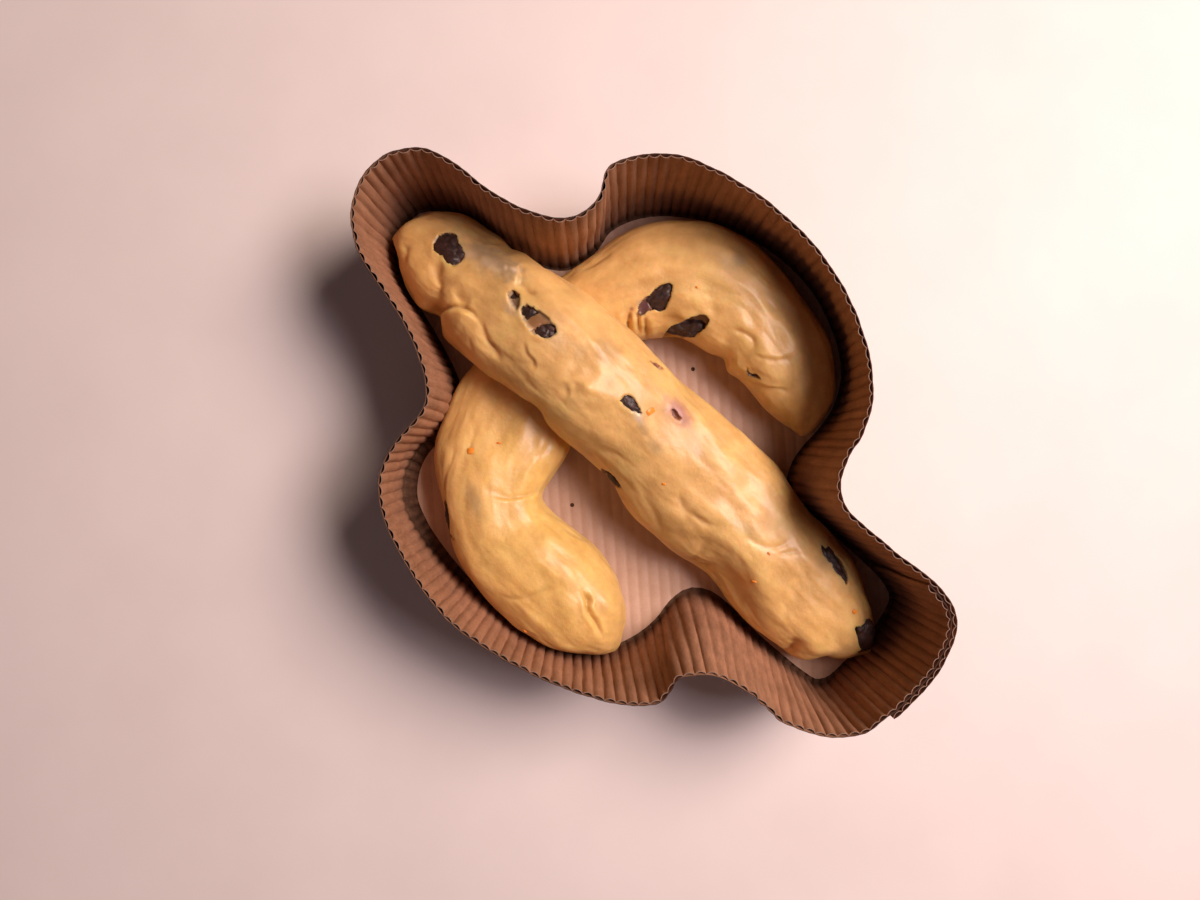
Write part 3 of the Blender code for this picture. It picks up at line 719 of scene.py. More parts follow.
class Roll:
    """A roll of dough as one closed mesh of rings, and the tools that shape it."""

    def __init__(self, sections):
        rows = [(*a, *b, low, high) for a, b, low, high in sections]
        dense = spline(rows, closed=False, per_span=24)
        middle = (dense[:, :2] + dense[:, 2:4]) / 2
        along = lengths(middle)
        rings = int(along[-1] / RING_STEP)
        where = np.linspace(0.0, along[-1], rings)
        row = np.column_stack([np.interp(where, along, dense[:, k]) for k in range(6)])
        centre = (row[:, :2] + row[:, 2:4]) / 2
        half = (row[:, :2] - row[:, 2:4]) / 2
        low, high = row[:, 4], row[:, 5]
        waist = low + WIDEST_AT * (high - low)
        turn = np.concatenate([
            np.linspace(0.0, math.pi, TOP_SAMPLES, endpoint=False),
            np.linspace(math.pi, math.tau, UNDER_SAMPLES, endpoint=False),
        ])
        side, rise = np.cos(turn), np.sin(turn)
        under = rise < 0
        side = bulged(side, np.where(under, UNDER_BULGE[0], TOP_BULGE[0]))
        rise = bulged(rise, np.where(under, UNDER_BULGE[1], TOP_BULGE[1]))
        flows = []

        def ring(i, scale, shift, out):
            reach = np.where(under, waist[i] - low[i], high[i] - waist[i])
            flat = centre[i] + shift + side[:, None] * half[i] * scale
            height = waist[i] + rise * reach * scale
            across = side * np.linalg.norm(half[i]) * scale
            flows.append(np.column_stack([np.full(len(turn), where[i] + out), across, height]))
            return np.column_stack([flat, height])

        ends = unit(np.array([centre[0] - centre[1], centre[-1] - centre[-2]])) * END_DOME
        angles = np.linspace(math.pi / 2, 0, DOME_RINGS, endpoint=False)[1:]
        domes = [(math.sin(a), math.cos(a)) for a in angles]
        loops = [ring(0, scale, ends[0] * out, -END_DOME * out) for out, scale in domes]
        loops += [ring(i, 1.0, 0.0, 0.0) for i in range(rings)]
        loops += [ring(-1, scale, ends[1] * out, END_DOME * out) for out, scale in reversed(domes)]
        tips = [(*(centre[0] + ends[0]), waist[0]), (*(centre[-1] + ends[1]), waist[-1])]
        self.shape = (len(loops), len(turn))
        self.points = np.vstack(loops + [tips])
        self.flow = np.vstack(flows + [[-END_DOME, 0, waist[0]], [along[-1] + END_DOME, 0, waist[-1]]])
        self.make_faces()
        self.tint = np.tile(DOUGH, (len(self.points), 1))
        self.settle()

    def make_faces(self):
        rings, around = self.shape
        index = np.arange(rings * around).reshape(rings, around)
        a, b = index[:-1], index[1:]
        corners = [a, np.roll(a, -1, axis=1), np.roll(b, -1, axis=1), b]
        self.sides = np.stack(corners, axis=-1).reshape(-1, 4)
        first, last = (zip(ring, np.roll(ring, -1)) for ring in (index[0], index[-1]))
        caps = [(index.size, n, i) for i, n in first] + [(index.size + 1, i, n) for i, n in last]
        top = rings // 2 * around + TOP_SAMPLES // 2
        if self.normals()[top, 2] < 0:
            self.sides = self.sides[:, ::-1]
            caps = [cap[::-1] for cap in caps]
        self.faces = self.sides.tolist() + [tuple(map(int, cap)) for cap in caps]

    def normals(self):
        corners = [self.points[self.sides[:, k]] for k in range(4)]
        out = np.cross(corners[2] - corners[0], corners[3] - corners[1])
        total = np.zeros_like(self.points)
        for k, axis in itertools.product(range(4), range(3)):
            total[:, axis] += np.bincount(self.sides[:, k], out[:, axis], len(total))
        around = self.shape[1]
        total[-2] = total[:around].sum(0)
        total[-1] = total[-2 - around : -2].sum(0)
        return total / np.maximum(np.linalg.norm(total, axis=1), 1e-9)[:, None]

    def settle(self):
        """Reads the surface's directions and its upper side afresh, for the features that follow."""
        self.out = self.normals()
        self.upper = smooth_step((self.out[:, 2] + 0.15) / 0.4)

    def near(self, places, reach):
        """Indexes of the upper side's points within reach of the box round some places in the plan."""
        places = np.atleast_2d(np.asarray(places, float))
        flat = self.points[:, :2]
        held = (flat > places.min(0) - reach) & (flat < places.max(0) + reach)
        return np.flatnonzero(held.all(1) & (self.upper > 0))

    def skin_at(self, plan, reach):
        """The skin over a place in the plan, and the way out of it, from the points within reach."""
        index = self.near(plan, reach)
        out = self.out[index].mean(0)
        return np.append(plan, self.points[index, 2].mean()), unit(out)

    def oval(self, index, centre, radii, heading):
        """How far points are from a centre in the plan, as shares of an oval's radii."""
        c, s = math.cos(math.radians(heading)), math.sin(math.radians(heading))
        x, y = (self.points[index, :2] - np.asarray(centre, float)).T
        return np.hypot((x * c + y * s) / radii[0], (-x * s + y * c) / radii[1])

    def push(self, index, amount):
        self.points[index] += self.out[index] * (amount * self.upper[index])[:, None]

    def evened(self, rounds, share=1.0):
        """The points, each drawn to the mean of its neighbours as often and as far as told."""
        rings, around = self.shape
        points = self.points.copy()
        part = np.broadcast_to(share, len(points))[:-2].reshape(rings, around, 1)
        for _ in range(rounds):
            grid = points[:-2].reshape(rings, around, 3)
            mean = (np.roll(grid, 1, axis=1) + np.roll(grid, -1, axis=1)) / 2
            mean[1:-1] = mean[1:-1] / 2 + (grid[2:] + grid[:-2]) / 4
            points[:-2] = (grid + (mean - grid) * part).reshape(-1, 3)
        return points

    def round_ends(self):
        rings, around = self.shape
        ring = np.append(np.arange(rings * around) // around, [0, rings - 1])
        from_end = np.minimum(ring, rings - 1 - ring) * RING_STEP
        self.points = self.evened(60, smooth_step(1 - from_end / END_REACH))
        self.settle()

    def lumps(self, broad, middle, streaks, folds, seed):
        """Lumps and streaks drawn out along the roll, soft wandering folds, and clouds of colour."""
        q = self.flow * (0.6, 1.0, 1.0)
        drawn = self.flow * (0.28, 1.0, 1.0) + 2.0 * noise_at(q, 12.0, seed + 8)[:, None]
        amount = broad * noise_at(q, 24.0, seed) + middle * noise_at(q, 11.0, seed + 1)
        amount += streaks * noise_at(drawn, 4.2, seed + 2) + 0.35 * streaks * noise_at(drawn, 1.9, seed + 3)
        bent = q + 3.5 * noise_at(q, 9.0, seed + 4)[:, None]
        lines = np.exp(-((noise_at(bent, 20.0, seed + 6) / 0.13) ** 2))
        amount -= folds * lines * smooth_step(noise_at(q, 26.0, seed + 7) * 2.5 + 0.3)
        self.points += self.out * (amount * (0.5 + 0.5 * self.upper))[:, None]
        clouds = 0.8 * noise_at(bent, 6.0, seed + 11) + 0.8 * noise_at(q, 15.0, seed + 12)
        everywhere = slice(None)
        self.tone(everywhere, smooth_step(clouds * 1.1), CREAM_DOUGH, 0.6)
        self.tone(everywhere, smooth_step(-clouds * 1.3), PEACH, 0.5)
        self.settle()

    def swell(self, centre, radii, heading, height):
        """A soft bump, or with a negative height a dent, on the upper side."""
        index = self.near(centre, 2.6 * max(radii))
        self.push(index, height * np.exp(-(self.oval(index, centre, radii, heading) ** 2)))

    def shove(self, centre, radius, way):
        """Moves the dough round a point of the plan sideways, for the corners and notches of its edge."""
        share = np.exp(-((np.linalg.norm(self.points[:, :2] - centre, axis=1) / radius) ** 2))
        self.points[:, :2] += share[:, None] * np.asarray(way, float)

    def alongside(self, path, reach, ends):
        """The upper side's points near a path, their distance from it, and a share fading to its ends."""
        index = self.near(path, reach)
        signed, along = beside(self.points[index, :2], path)
        return index, self.points[index], signed, smooth_step(np.minimum(along, 1 - along) / ends)

    def valley(self, path, width, depth, bank=0.06):
        """A soft valley along a path on the upper side, between full banks, fading out at both ends."""
        index, here, signed, fade = self.alongside(path, 6 * width, 0.35)
        wander = 1.0 + 0.3 * noise_at(here, 5.0, 51)
        away = np.abs(signed + 0.3 * width * noise_at(here, 5.0, 52)) / width
        shape = -1.0 / (1.0 + away**2) ** 1.7 + bank * np.exp(-(((away - 3.0) / 1.7) ** 2))
        self.push(index, depth * wander * shape * fade)

    def step(self, path, height, reach, undercut=0.7, soft=1.5):
        """An overlap along a path: the dough left of it stands higher, and ends in a narrow crease."""
        index, here, signed, fade = self.alongside(path, 4 * reach, 0.3)
        signed = signed + 0.4 * noise_at(here, 4.0, 53)
        fade = fade * (np.abs(signed) < 4 * reach)
        raised = height * np.exp(-np.maximum(signed, 0.0) / reach) * smooth_step(signed / soft + 0.5)
        crease = undercut * np.exp(-(((signed + 1.0) / 1.0) ** 2))
        self.push(index, (raised - crease) * fade)

    def tone(self, index, where, colour, amount):
        """Tints the surface by a share for each point."""
        share = np.clip(where * amount, 0.0, 1.0)[:, None]
        self.tint[index] += (np.asarray(colour) - self.tint[index]) * share

    def spot(self, centre, radii, heading, colour, amount):
        """Tints the upper side round a point, unevenly."""
        index = self.near(centre, 2.2 * max(radii))
        r = self.oval(index, centre, radii, heading)
        r += 0.3 * noise_at(self.points[index], 3.0, 54) + 0.15 * noise_at(self.points[index], 1.4, 55)
        self.tone(index, np.exp(-(np.abs(r) ** 3)) * self.upper[index], colour, amount)

    def opening(self, outline, depth, inner=None, rim=PIT_SHADE, wall=0.8, lip=0.08):
        """A hole in the skin with a crisp edge: points are drawn to the outline, and sink inside it."""
        index = self.near(outline, 5.0)
        here = self.points[index, :2]
        here = here + 0.25 * np.column_stack([noise_at(self.points[index], 1.6, k) for k in (56, 57)])
        away, out = from_outline(here, outline)
        snap = away * np.clip(1.0 - np.abs(away) / EDGE_DRAW, 0.0, 1.0)
        self.points[index, :2] -= out * snap[:, None]
        down = smooth_step(-away / wall)
        raised = lip * np.exp(-(((away - 0.9) / 0.9) ** 2))
        self.points[index] += self.out[index] * (raised - depth * down)[:, None]
        self.points[index, :2] += out * (UNDERCUT * 4 * down * (1 - down))[:, None]
        # The rim colour tints the edge and the walls; by default it is painted shade.
        self.tone(index, smooth_step(0.5 - away / 0.8), rim, 0.85)
        if inner is not None:
            self.tone(index, smooth_step(-(away + 0.5) / 0.8), inner, 0.9)

    def paint_fold_shade_and_ridge_light(self):
        """Painted shade and light: what lies below the surface's own mean is tinted darker and warmer, and
        what stands above it lighter.
        """
        sunk = ((self.evened(14) - self.points) * self.normals()).sum(1)
        # Painted shade in the folds.
        self.tone(slice(None), smooth_step(sunk / 0.9), CREASE_SHADE, 0.45)
        # Painted light on what stands out.
        self.tone(slice(None), smooth_step(-sunk / 0.6), CREAM_DOUGH, 0.35)


class Bed:
    """Where a CAD raisin lies in its roll: the skin over its opening, and axes along, across and out."""

    def __init__(self, name, roll, outline):
        points = np.array([v.co[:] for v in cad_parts[name].data.vertices]) / MM
        points -= points.mean(0)
        self.name = name
        knots = np.array(outline)
        plan = (knots.min(0) + knots.max(0)) / 2
        self.spot, out = roll.skin_at(plan, 2.5)
        self.axes = axes_on(out, np.linalg.svd(points, full_matrices=False)[2][0])
        self.axes[:2] *= math.copysign(1.0, self.axes[0, 0])
        reach = (knots - plan) @ self.axes[:2, :2].T
        self.half = np.abs(points @ self.axes.T).max(0)
        self.half[:2] = np.maximum(np.ptp(reach, axis=0) / 2 + FRUIT_OVERLAP, self.half[:2])
        skin = (roll.points[roll.near(plan, self.half[0] + 1.0)] - self.spot) @ self.axes.T
        skin = skin[(np.abs(skin[:, 2]) < self.half[0]) & (np.abs(skin[:, 1]) < self.half[1] + 2.0)]
        self.curve = np.linalg.lstsq(self.terms(skin), skin[:, 2], rcond=None)[0]

    def terms(self, place):
        """The parts of a curved surface that is fitted to the skin: level, slopes and bends."""
        u, v = place[:, 0], place[:, 1]
        return np.column_stack([u * 0 + 1, u, v, u * u, u * v, v * v])


def ball(subdivisions):
    """The points and faces of a ball of radius 1."""
    work = bmesh.new()
    bmesh.ops.create_icosphere(work, subdivisions=subdivisions, radius=1.0)
    points = np.array([v.co[:] for v in work.verts])
    faces = np.array([[v.index for v in f.verts] for f in work.faces])
    work.free()
    return points, faces


def make_raisin(bed, look, seed, cover):
    """A wrinkled raisin in the CAD raisin's place, with its top as far under the skin as cover says."""
    way, faces = ball(5)
    half = bed.half * (1.04, 1.04, 1.0)
    body = bulged(way, FRUIT_BULGE) * half
    body[:, 1] *= 1.0 - 0.16 * np.exp(-(((way[:, 0] - 0.15) / 0.3) ** 2))
    drawn = body * (0.6, 1.0, 1.0) + 0.8 * noise_at(body, 3.0, seed + 5)[:, None]
    rise = 0.8 * noise_at(body, 5.0, seed)
    rise += 0.8 * (np.minimum(np.abs(noise_at(drawn, 2.9, seed + 20)) * 2.2, 0.8) - 0.5)
    rise += 0.35 * (np.minimum(np.abs(noise_at(drawn, 1.3, seed + 60)) * 2.4, 0.8) - 0.5)
    rise += 0.06 * noise_at(body, 0.6, seed + 80)
    body += way * rise[:, None]
    body[:, 1] += FRUIT_BEND * half[1] * ((body[:, 0] / half[0]) ** 2 - 0.4)
    body[:, 2] += bed.terms(body) @ bed.curve
    middle = bed.spot - bed.axes[2] * (half[2] + cover)
    made = make_mesh(bed.name + "_fruit", middle + body @ bed.axes, faces.tolist(), [look])
    finish_piece(made, "raisin", bed.name)


def lie_on(roll, under, gap):
    """Lifts a roll's points that would be inside the roll under it up to that roll's top."""
    tree = BVHTree.FromPolygons([Vector(p) for p in under.points], under.faces)
    down = Vector((0, 0, -1))
    low, high = under.points.min(0), under.points.max(0)
    for i, (x, y, z) in enumerate(roll.points):
        if z < high[2] and low[0] < x < high[0]:
            hit = tree.ray_cast(Vector((x, y, 100.0)), down)[0]
            if hit is not None and z < hit.z + gap:
                roll.points[i, 2] = hit.z + gap


# Raisins that show their reddish flesh, not their skin.
TORN_RAISINS = ("raisin_back", "raisin_side")


def make_dough(dough, fruit, flesh):
    wings, body = Roll(WINGS), Roll(BODY)
    for roll, seed, size in ((wings, 21, WINGS_LUMPS), (body, 31, BODY_LUMPS)):
        roll.round_ends()
        roll.lumps(*size, seed)
    shape_wings(wings)
    shape_body(body)
    lie_on(body, wings, ROLL_GAP)
    for roll in (wings, body):
        roll.paint_fold_shade_and_ridge_light()
        roll.settle()
    tint_body(body)
    tint_wings(wings)
    for roll, name, beds in ((body, "dough_body", BODY_BEDS), (wings, "dough_wings", WING_BEDS)):
        for number, (node, (cover, openings)) in enumerate(beds.items()):
            look = flesh if node in TORN_RAISINS else fruit
            make_raisin(Bed(node, roll, openings[-1][-1]), look, 7 * number + len(node), cover)
            for depth, *colours, outline in openings:
                roll.opening(outline, depth, *colours)
        skin = make_mesh(name + "_skin", roll.points, roll.faces, [dough], tint=roll.tint)
        finish_piece(skin, "dough", name)
    return body, wings


# Orange peel: each fleck's place in the plan, which roll it is on, its length and width, and its heading.
ZEST = (
    ((-46.5, -58.3), "wings", 4.4, 3.0, 60), ((25.9, -97.8), "wings", 2.0, 0.9, 20),
    ((-40.2, -47.2), "wings", 2.2, 0.8, 40), ((-3.6, 7.6), "body", 5.4, 2.4, 75),
    ((120.3, 10.1), "body", 2.4, 1.8, 10), ((22.0, -9.4), "body", 1.8, 0.9, 30),
    ((79.0, -11.5), "body", 2.6, 1.0, 50), ((74.3, 1.2), "body", 1.6, 0.8, 0),
    ((-27.0, 60.5), "wings", 1.4, 0.8, 15),
)
ZEST_THICK = 0.7
ZEST_PROUD = 0.25
ZEST_CURL = 0.12


def make_zest(rolls, look):
    """Thin curled flecks of orange peel, set into the skin, as one joined mesh."""
    way, faces = ball(4)
    points = []
    for number, (place, name, length, width, heading) in enumerate(ZEST):
        spot, out = rolls[name].skin_at(place, 1.2)
        body = bulged(way, ZEST_BULGE) * (length / 2, width / 2, ZEST_THICK / 2)
        body *= 1.0 + 0.25 * noise_at(way, 0.9, 70 + number)[:, None]
        body[:, 2] -= ZEST_CURL * body[:, 0] ** 2
        a = math.radians(heading)
        axes = axes_on(out, np.array([math.cos(a), math.sin(a), 0.0]))
        points.append(spot + out * ZEST_PROUD + body @ axes)
    faces = np.vstack([faces + number * len(way) for number in range(len(ZEST))])
    finish_piece(make_mesh("orange_zest", np.vstack(points), faces.tolist(), [look]), None)


# For each raisin: how far its top is under the skin, and the skin's openings, the one over it last.
# Each opening has its depth, for a shallow one its colour and its rim's too, and its outline in the plan.
BODY_BEDS = {
    "raisin_head": (-0.9, (
        (4, (
            (-120.2, -5.5), (-120.4, -1.9), (-117.8, 2.3), (-115.1, 3.2), (-112.1, 1.4), (-108.2, 0.5),
            (-105.2, -1.3), (-104.6, -3.7), (-106.1, -7), (-108.8, -7.3), (-112.1, -7), (-116.3, -8.2),
        )),
    )),
    "raisin_neck_a": (1.6, (
        (1.3, DRIED, FILM, (
            (-78.8, 0.7), (-77.6, 2.5), (-74.7, 2.5), (-72.7, 1), (-71.2, -1.4), (-72.6, -2.6),
            (-76, -1.9),
        )),
        (3.2, (
            (-79, 0.9), (-77.6, 2.9), (-74.7, 2.6), (-75.2, 1.3), (-76.6, -0.2), (-78.2, -0.6),
        )),
    )),
    "raisin_neck_b": (0.3, (
        (1, MEMBRANE, FILM, (
            (-70.5, -0.1), (-69.4, 2.2), (-65.4, 3.4), (-60.5, 4.2), (-56, 4.2), (-53.2, 3),
            (-53.1, 0.2), (-54, -1.8), (-57.4, -3.6), (-61, -4.1), (-64.8, -3.5), (-68, -2.6),
        )),
        (3.5, (
            (-70.5, -0.1), (-69.7, 1.9), (-66.8, 3.1), (-64, 3), (-64.6, 1.1), (-66.8, -0.9),
            (-68.7, -1.9),
        )),
    )),
    "raisin_neck_c": (0.3, (
        (3.5, (
            (-60.3, -3.5), (-59.8, -0.5), (-58.3, 2.3), (-55.4, 3.8), (-53.4, 2.9), (-53.3, 0.2),
            (-54.2, -1.8), (-57.4, -3.4),
        )),
    )),
    "raisin_breast": (-0.2, (
        (3.5, (
            (-15.3, 2.2), (-15.3, 4.2), (-14.2, 5.8), (-12.2, 6.2), (-9.7, 5.6), (-7.1, 4.8),
            (-5.4, 3.9), (-7.6, 3.2), (-10.4, 2), (-13.4, 1.5),
        )),
    )),
    "raisin_back": (1.5, (
        (1.8, RUST, RUST, (
            (2, 14.8), (3.2, 15.6), (5.6, 15.2), (7.8, 14.3), (6.4, 13.3), (4, 13.3),
        )),
    )),
    "raisin_flank": (0.3, (
        (3.5, (
            (-0.8, -23.7), (1.9, -22.5), (5.3, -22.1), (9, -22.6), (10.9, -23.4), (8.6, -25.2),
            (5, -25.4), (1.8, -25),
        )),
    )),
    "raisin_side": (0.8, (
        (2.2, RUST, RUST, (
            (-18.5, 22.6), (-16.9, 23.8), (-15.2, 24.5), (-12.3, 24.8), (-13.7, 23.4), (-16, 22.6),
        )),
    )),
    "raisin_crook": (0.3, (
        (2.5, RUST, RUST, (
            (-23.1, 32.7), (-22.1, 33.7), (-19.8, 32.9), (-17.6, 31.2), (-16.9, 29.7), (-19, 29.7),
            (-21.7, 31),
        )),
    )),
    "raisin_rump": (-0.6, (
        (3.8, (
            (89.2, 20.3), (92.1, 20.5), (95.6, 21.4), (99.4, 21.9), (102.8, 21.6), (105.8, 20.3),
            (108.2, 18.2), (109.3, 15.8), (107.2, 16.2), (104.5, 16.6), (101.4, 16.3), (99.2, 17.4),
            (96, 17.9), (92.6, 18),
        )),
    )),
    "raisin_tail": (-2.4, (
        (4, (
            (126.3, 5.4), (129, 8.4), (132.4, 11.6), (137.5, 12), (142, 8.8), (144.2, 5.2),
            (142.6, 2.4), (139.2, 1.8), (136.2, 1.2), (132.4, 2.7), (129.2, 4),
        )),
    )),
}
WING_BEDS = {
    "raisin_wing_a": (0.2, (
        (1.5, PLUM, PLUM, (
            (-39.4, 44.2), (-40, 40.9), (-39.2, 37.6), (-37.2, 35.5), (-35.4, 36.8), (-35.3, 39.4),
            (-33.8, 41.7), (-36.3, 44.8),
        )),
        (4, (
            (-35.1, 53.6), (-37, 53.4), (-38.3, 51.4), (-39.4, 47.9), (-39.2, 44.6), (-37.3, 42.2),
            (-34.6, 41.6), (-31.7, 42.6), (-30.5, 44.2), (-31.6, 47.9), (-33.4, 51.3),
        )),
    )),
    "raisin_wing_b": (-1, (
        (4, (
            (-22.3, 36.7), (-23.5, 39.3), (-23.4, 42.8), (-21.4, 46.6), (-20.2, 49.4), (-18.2, 53.1),
            (-15.6, 55.2), (-13.7, 54.7), (-12.5, 52.3), (-12.6, 49.3), (-14.4, 46.3), (-17.6, 43.1),
            (-20.4, 39.4),
        )),
    )),
    "raisin_wing_c": (0.9, (
        # The slit is tinted dark inside with painted shade.
        (2.2, PIT_SHADE, (
            (13.1, 52.7), (15.4, 52.1), (18, 53.3), (20.5, 53.1), (18.2, 52), (15.6, 50.9),
        )),
    )),
    "raisin_wing_d": (-0.4, (
        (3.4, (
            (-40.3, -81.5), (-37.2, -82.8), (-34.3, -84.9), (-31.8, -86.8), (-28.9, -90.1),
            (-27.2, -91.2), (-24.8, -90.9), (-26.8, -93), (-29.8, -92.4), (-33, -89.2), (-35.4, -86.8),
            (-38.2, -84.4),
        )),
    )),
}


def shape_body(body):
    """The head's folds, the shoulder flap, the wrinkled breast, and the back's and tail's creases."""
    # the edge
    body.shove((-100.2, -32), 7, (1.2, 4.4))
    body.shove((-91.5, -33), 4.5, (-1.2, -1.2))
    body.shove((-106, -32.5), 5, (-1, -1.6))
    body.shove((-96, 15.5), 4, (0, -1.6))
    body.shove((-105.7, 15), 4, (0, 0.9))
    body.shove((-39, -29), 6, (0, 2.4))
    body.shove((145, 3), 4, (1.8, 0.6))
    body.shove((131, -15), 5, (-0.6, 1.8))
    body.settle()
    # head
    body.swell((-141, -18.5), (3.2, 2.6), 0, 2.6)
    body.swell((-136, -10), (6, 5), 0, 1.3)
    body.valley(((-130, -14), (-126, -18.4), (-124, -24)), 2.2, 1.5)
    body.swell((-113, -21), (7, 5.5), 10, 1.8)
    body.valley(((-112, -8), (-110.5, -13.2), (-104.4, -19), (-100, -25.5)), 3.2, 2.4)
    body.swell((-99, -8.5), (8, 5), 0, 1)
    body.valley(((-99, -14.5), (-93.5, -15), (-87, -14)), 3, 1.6)
    # shoulder flap
    body.step(((-80, -16.5), (-85.5, -16.5), (-90.7, -18.5), (-95, -23), (-99, -31)), 3, 7, 1.6)
    body.valley(((-84, -13.5), (-78, -17), (-72, -19.5), (-60, -21.5)), 2, 1.5)
    body.swell((-80, -24), (10, 6), -5, 1.2)
    body.swell((-99.5, -29), (3.5, 5), 0, -3.2)
    # neck
    body.step(((-79.2, 4), (-80.5, 8), (-86.5, 13.5)), 1.3, 6, 0.6)
    body.valley(((-81, 7.4), (-77, 6.8), (-73, 7), (-69.5, 8.6)), 1.6, 1.2)
    body.swell((-93, 2), (3, 2), 20, 0.7)
    body.swell((-99, 4), (3.5, 2.5), -10, 0.6)
    body.swell((-84, 4), (4.5, 3.5), 0, 0.8)
    # breast
    body.step(((-60, -8), (-55, -11), (-50.5, -11.5), (-48, -15)), 0.8, 5, 0.3)
    body.swell((-38, 2), (4, 5), 0, -1)
    body.swell((-32, 2), (3.6, 3), 0, -1.1)
    body.swell((-24.5, 2.8), (4.2, 3.2), 0, -0.9)
    body.swell((-28.2, -4.2), (2.6, 2), 20, 1.1)
    body.valley(((-37, -8), (-33.5, -11), (-30.6, -10.9)), 2.4, 1)
    body.valley(((-30.5, -11.5), (-31.6, -8), (-33, -4.5)), 2.2, 0.9)
    body.swell((-39, -26), (4.5, 2.5), 0, -1.3)
    # back
    body.valley(((27, -3), (30.4, -8.2), (36.3, -10.9), (43.8, -9.4), (50.4, -6.4), (58, -4.2)), 2.2, 1.1)
    body.swell((43, -2), (11, 5), 10, 0.8)
    body.valley(((60, -2.5), (63.6, -0.6), (71, 2.1), (75.9, 6.9), (77.2, 14)), 1.3, 0.8)
    body.valley(((76, 2.5), (80, 7), (85, 13)), 1.2, 0.5)
    body.swell((56, 9), (9, 6), 15, 0.9)
    # shelf on the tail's near side
    shelf = (
        (36.4, -20.3), (42.7, -17.1), (52.2, -12.4), (61.4, -9.2), (70.3, -8.5), (78.1, -10.1),
        (84.4, -13.1), (89.7, -17),
    )
    body.step(shelf, 1, 6, 0, 6)
    body.swell((70, -19.5), (17, 6), -2, -3.4)
    body.valley(((94, -8), (98, -11), (101, -16)), 2.2, 0.7)
    body.valley(((59, -27), (62, -22), (66, -19.5)), 1.8, 1.3)
    body.valley(((117, -27), (114, -20), (110.5, -15)), 2.6, 2.2)


def tint_body(body):
    """Raisins just under the skin show grey, thin skin looks milky, orange peel stains the dough, and two
    small milky spots by the neck are painted glints.
    """
    for place, radii, heading, colour, amount in (
        ((-34.2, 12), (6, 4), 0, GREY, 0.45), ((-41, 4), (3, 3), 0, GREY, 0.3),
        ((8.2, -1.3), (4, 2.6), 0, GREY, 0.5), ((19.9, 10.4), (5, 3), 0, GREY, 0.35),
        ((58, 1.2), (9, 2.8), 10, GREY, 0.4), ((94.8, 14.2), (5, 3), 0, GREY, 0.4),
        ((-97, 5.5), (15, 6.5), 8, GREY, 0.95), ((-91, 4.5), (6, 2.4), 8, MILK_AND_GLINT, 0.2),
        ((-86.5, 8.5), (6, 4), 0, GREY, 0.9), ((-122, -14), (10, 7), 0, PEACH, 0.5),
        # The small milky spots at (-84.8, 9.4) and (-88, 7.6) are painted glints on the wet film.
        ((-104, 1.5), (3.5, 2), 40, FILM, 0.5), ((-84.8, 9.4), (1.7, 1), 20, MILK_AND_GLINT, 0.7),
        ((-88, 7.6), (1.4, 0.9), -30, MILK_AND_GLINT, 0.6), ((-62, 3.4), (4.2, 1), 8, RUST, 0.7),
        ((-51, 0.7), (6, 4), 0, FILM, 0.35), ((-73.5, -3), (4.5, 2.5), 0, FILM, 0.7),
        ((-6, 2.6), (3.5, 1.8), -15, MILK_AND_GLINT, 0.9), ((-1.5, 0.6), (4.5, 2), -15, GREY, 0.45),
        ((4.8, 15.8), (7, 4), -5, PINK, 1), ((8.6, 15.6), (2.2, 1.6), 0, RUST, 0.45),
        ((76.1, -12.9), (4.5, 3), 0, ORANGE, 0.5), ((-59, 8.3), (5, 3.5), 0, PEACH, 0.4),
        ((-22, 3), (6, 5), 0, PEACH, 0.5),
    ):
        body.spot(place, radii, heading, colour, amount)


def shape_wings(wings):
    """The strands by the body, the curled wing's folds, and the far wing's slit end."""
    # the edge
    wings.shove((2, 49), 4, (0.8, 1.6))
    wings.shove((10, 50.5), 3.5, (-0.6, -1.4))
    wings.shove((-9, 66), 9, (0.6, 1.4))
    wings.settle()
    # the wing towards +Y
    wings.valley(((-70.5, 30), (-68, 36), (-66.3, 42), (-64.5, 48.5)), 1.7, 1.2)
    wings.swell((-47.1, 52.1), (10, 7), 60, 1.2)
    wings.swell((-40.6, 54.7), (4, 3), 0, -0.6)
    for path, width, depth in (
        (((-40.9, 34.3), (-38.2, 30.2), (-33.4, 26.9)), 1.1, 2.2),
        (((-38.7, 36.4), (-35.2, 33.2), (-30.5, 30.4)), 0.9, 1.8),
        (((-35, 37.6), (-31.4, 34.4), (-27.5, 31.8)), 1, 1.6),
    ):
        wings.valley(path, width, depth, 0.3)
    wings.swell((-15, 58.5), (3.5, 3), 0, -1.2)
    wings.swell((-5.6, 63.3), (6, 4.5), 40, 0.8)
    wings.valley(((-5, 58), (1.4, 61), (6, 61.4), (10.5, 59)), 1.6, 1.4)
    wings.swell((-1.2, 53.5), (3.5, 3), 0, -1.1)
    wings.step(((9, 57), (12.5, 59.4), (16.7, 61.7), (20.3, 65.2), (22.5, 71)), 0.8, 5, 0.4)
    wings.step(((17.5, 49.8), (20.5, 51.3), (24.6, 53.2), (28.5, 56.2), (34, 59.4)), 0.9, 4, 0.4)
    # the wing towards -Y
    slit = ((28.5, -66), (31, -66.9), (34.7, -67.6), (37.5, -70.5), (44.4, -72.3), (53, -76))
    wings.valley(slit, 0.7, 2.2, 0.3)
    wings.swell((35, -67.4), (1.6, 1.3), 0, -1.6)
    wings.swell((41.8, -62.8), (7, 4.5), -15, 0.8)
    wings.valley(((5, -94), (11.9, -90.6), (16, -84), (19, -76.6), (23.5, -71.5)), 0.9, 0.7, 0.2)
    wings.step(((-11.5, -48.5), (-15.1, -55.5), (-21.1, -62.9), (-27, -66)), 1, 6, 0.4)


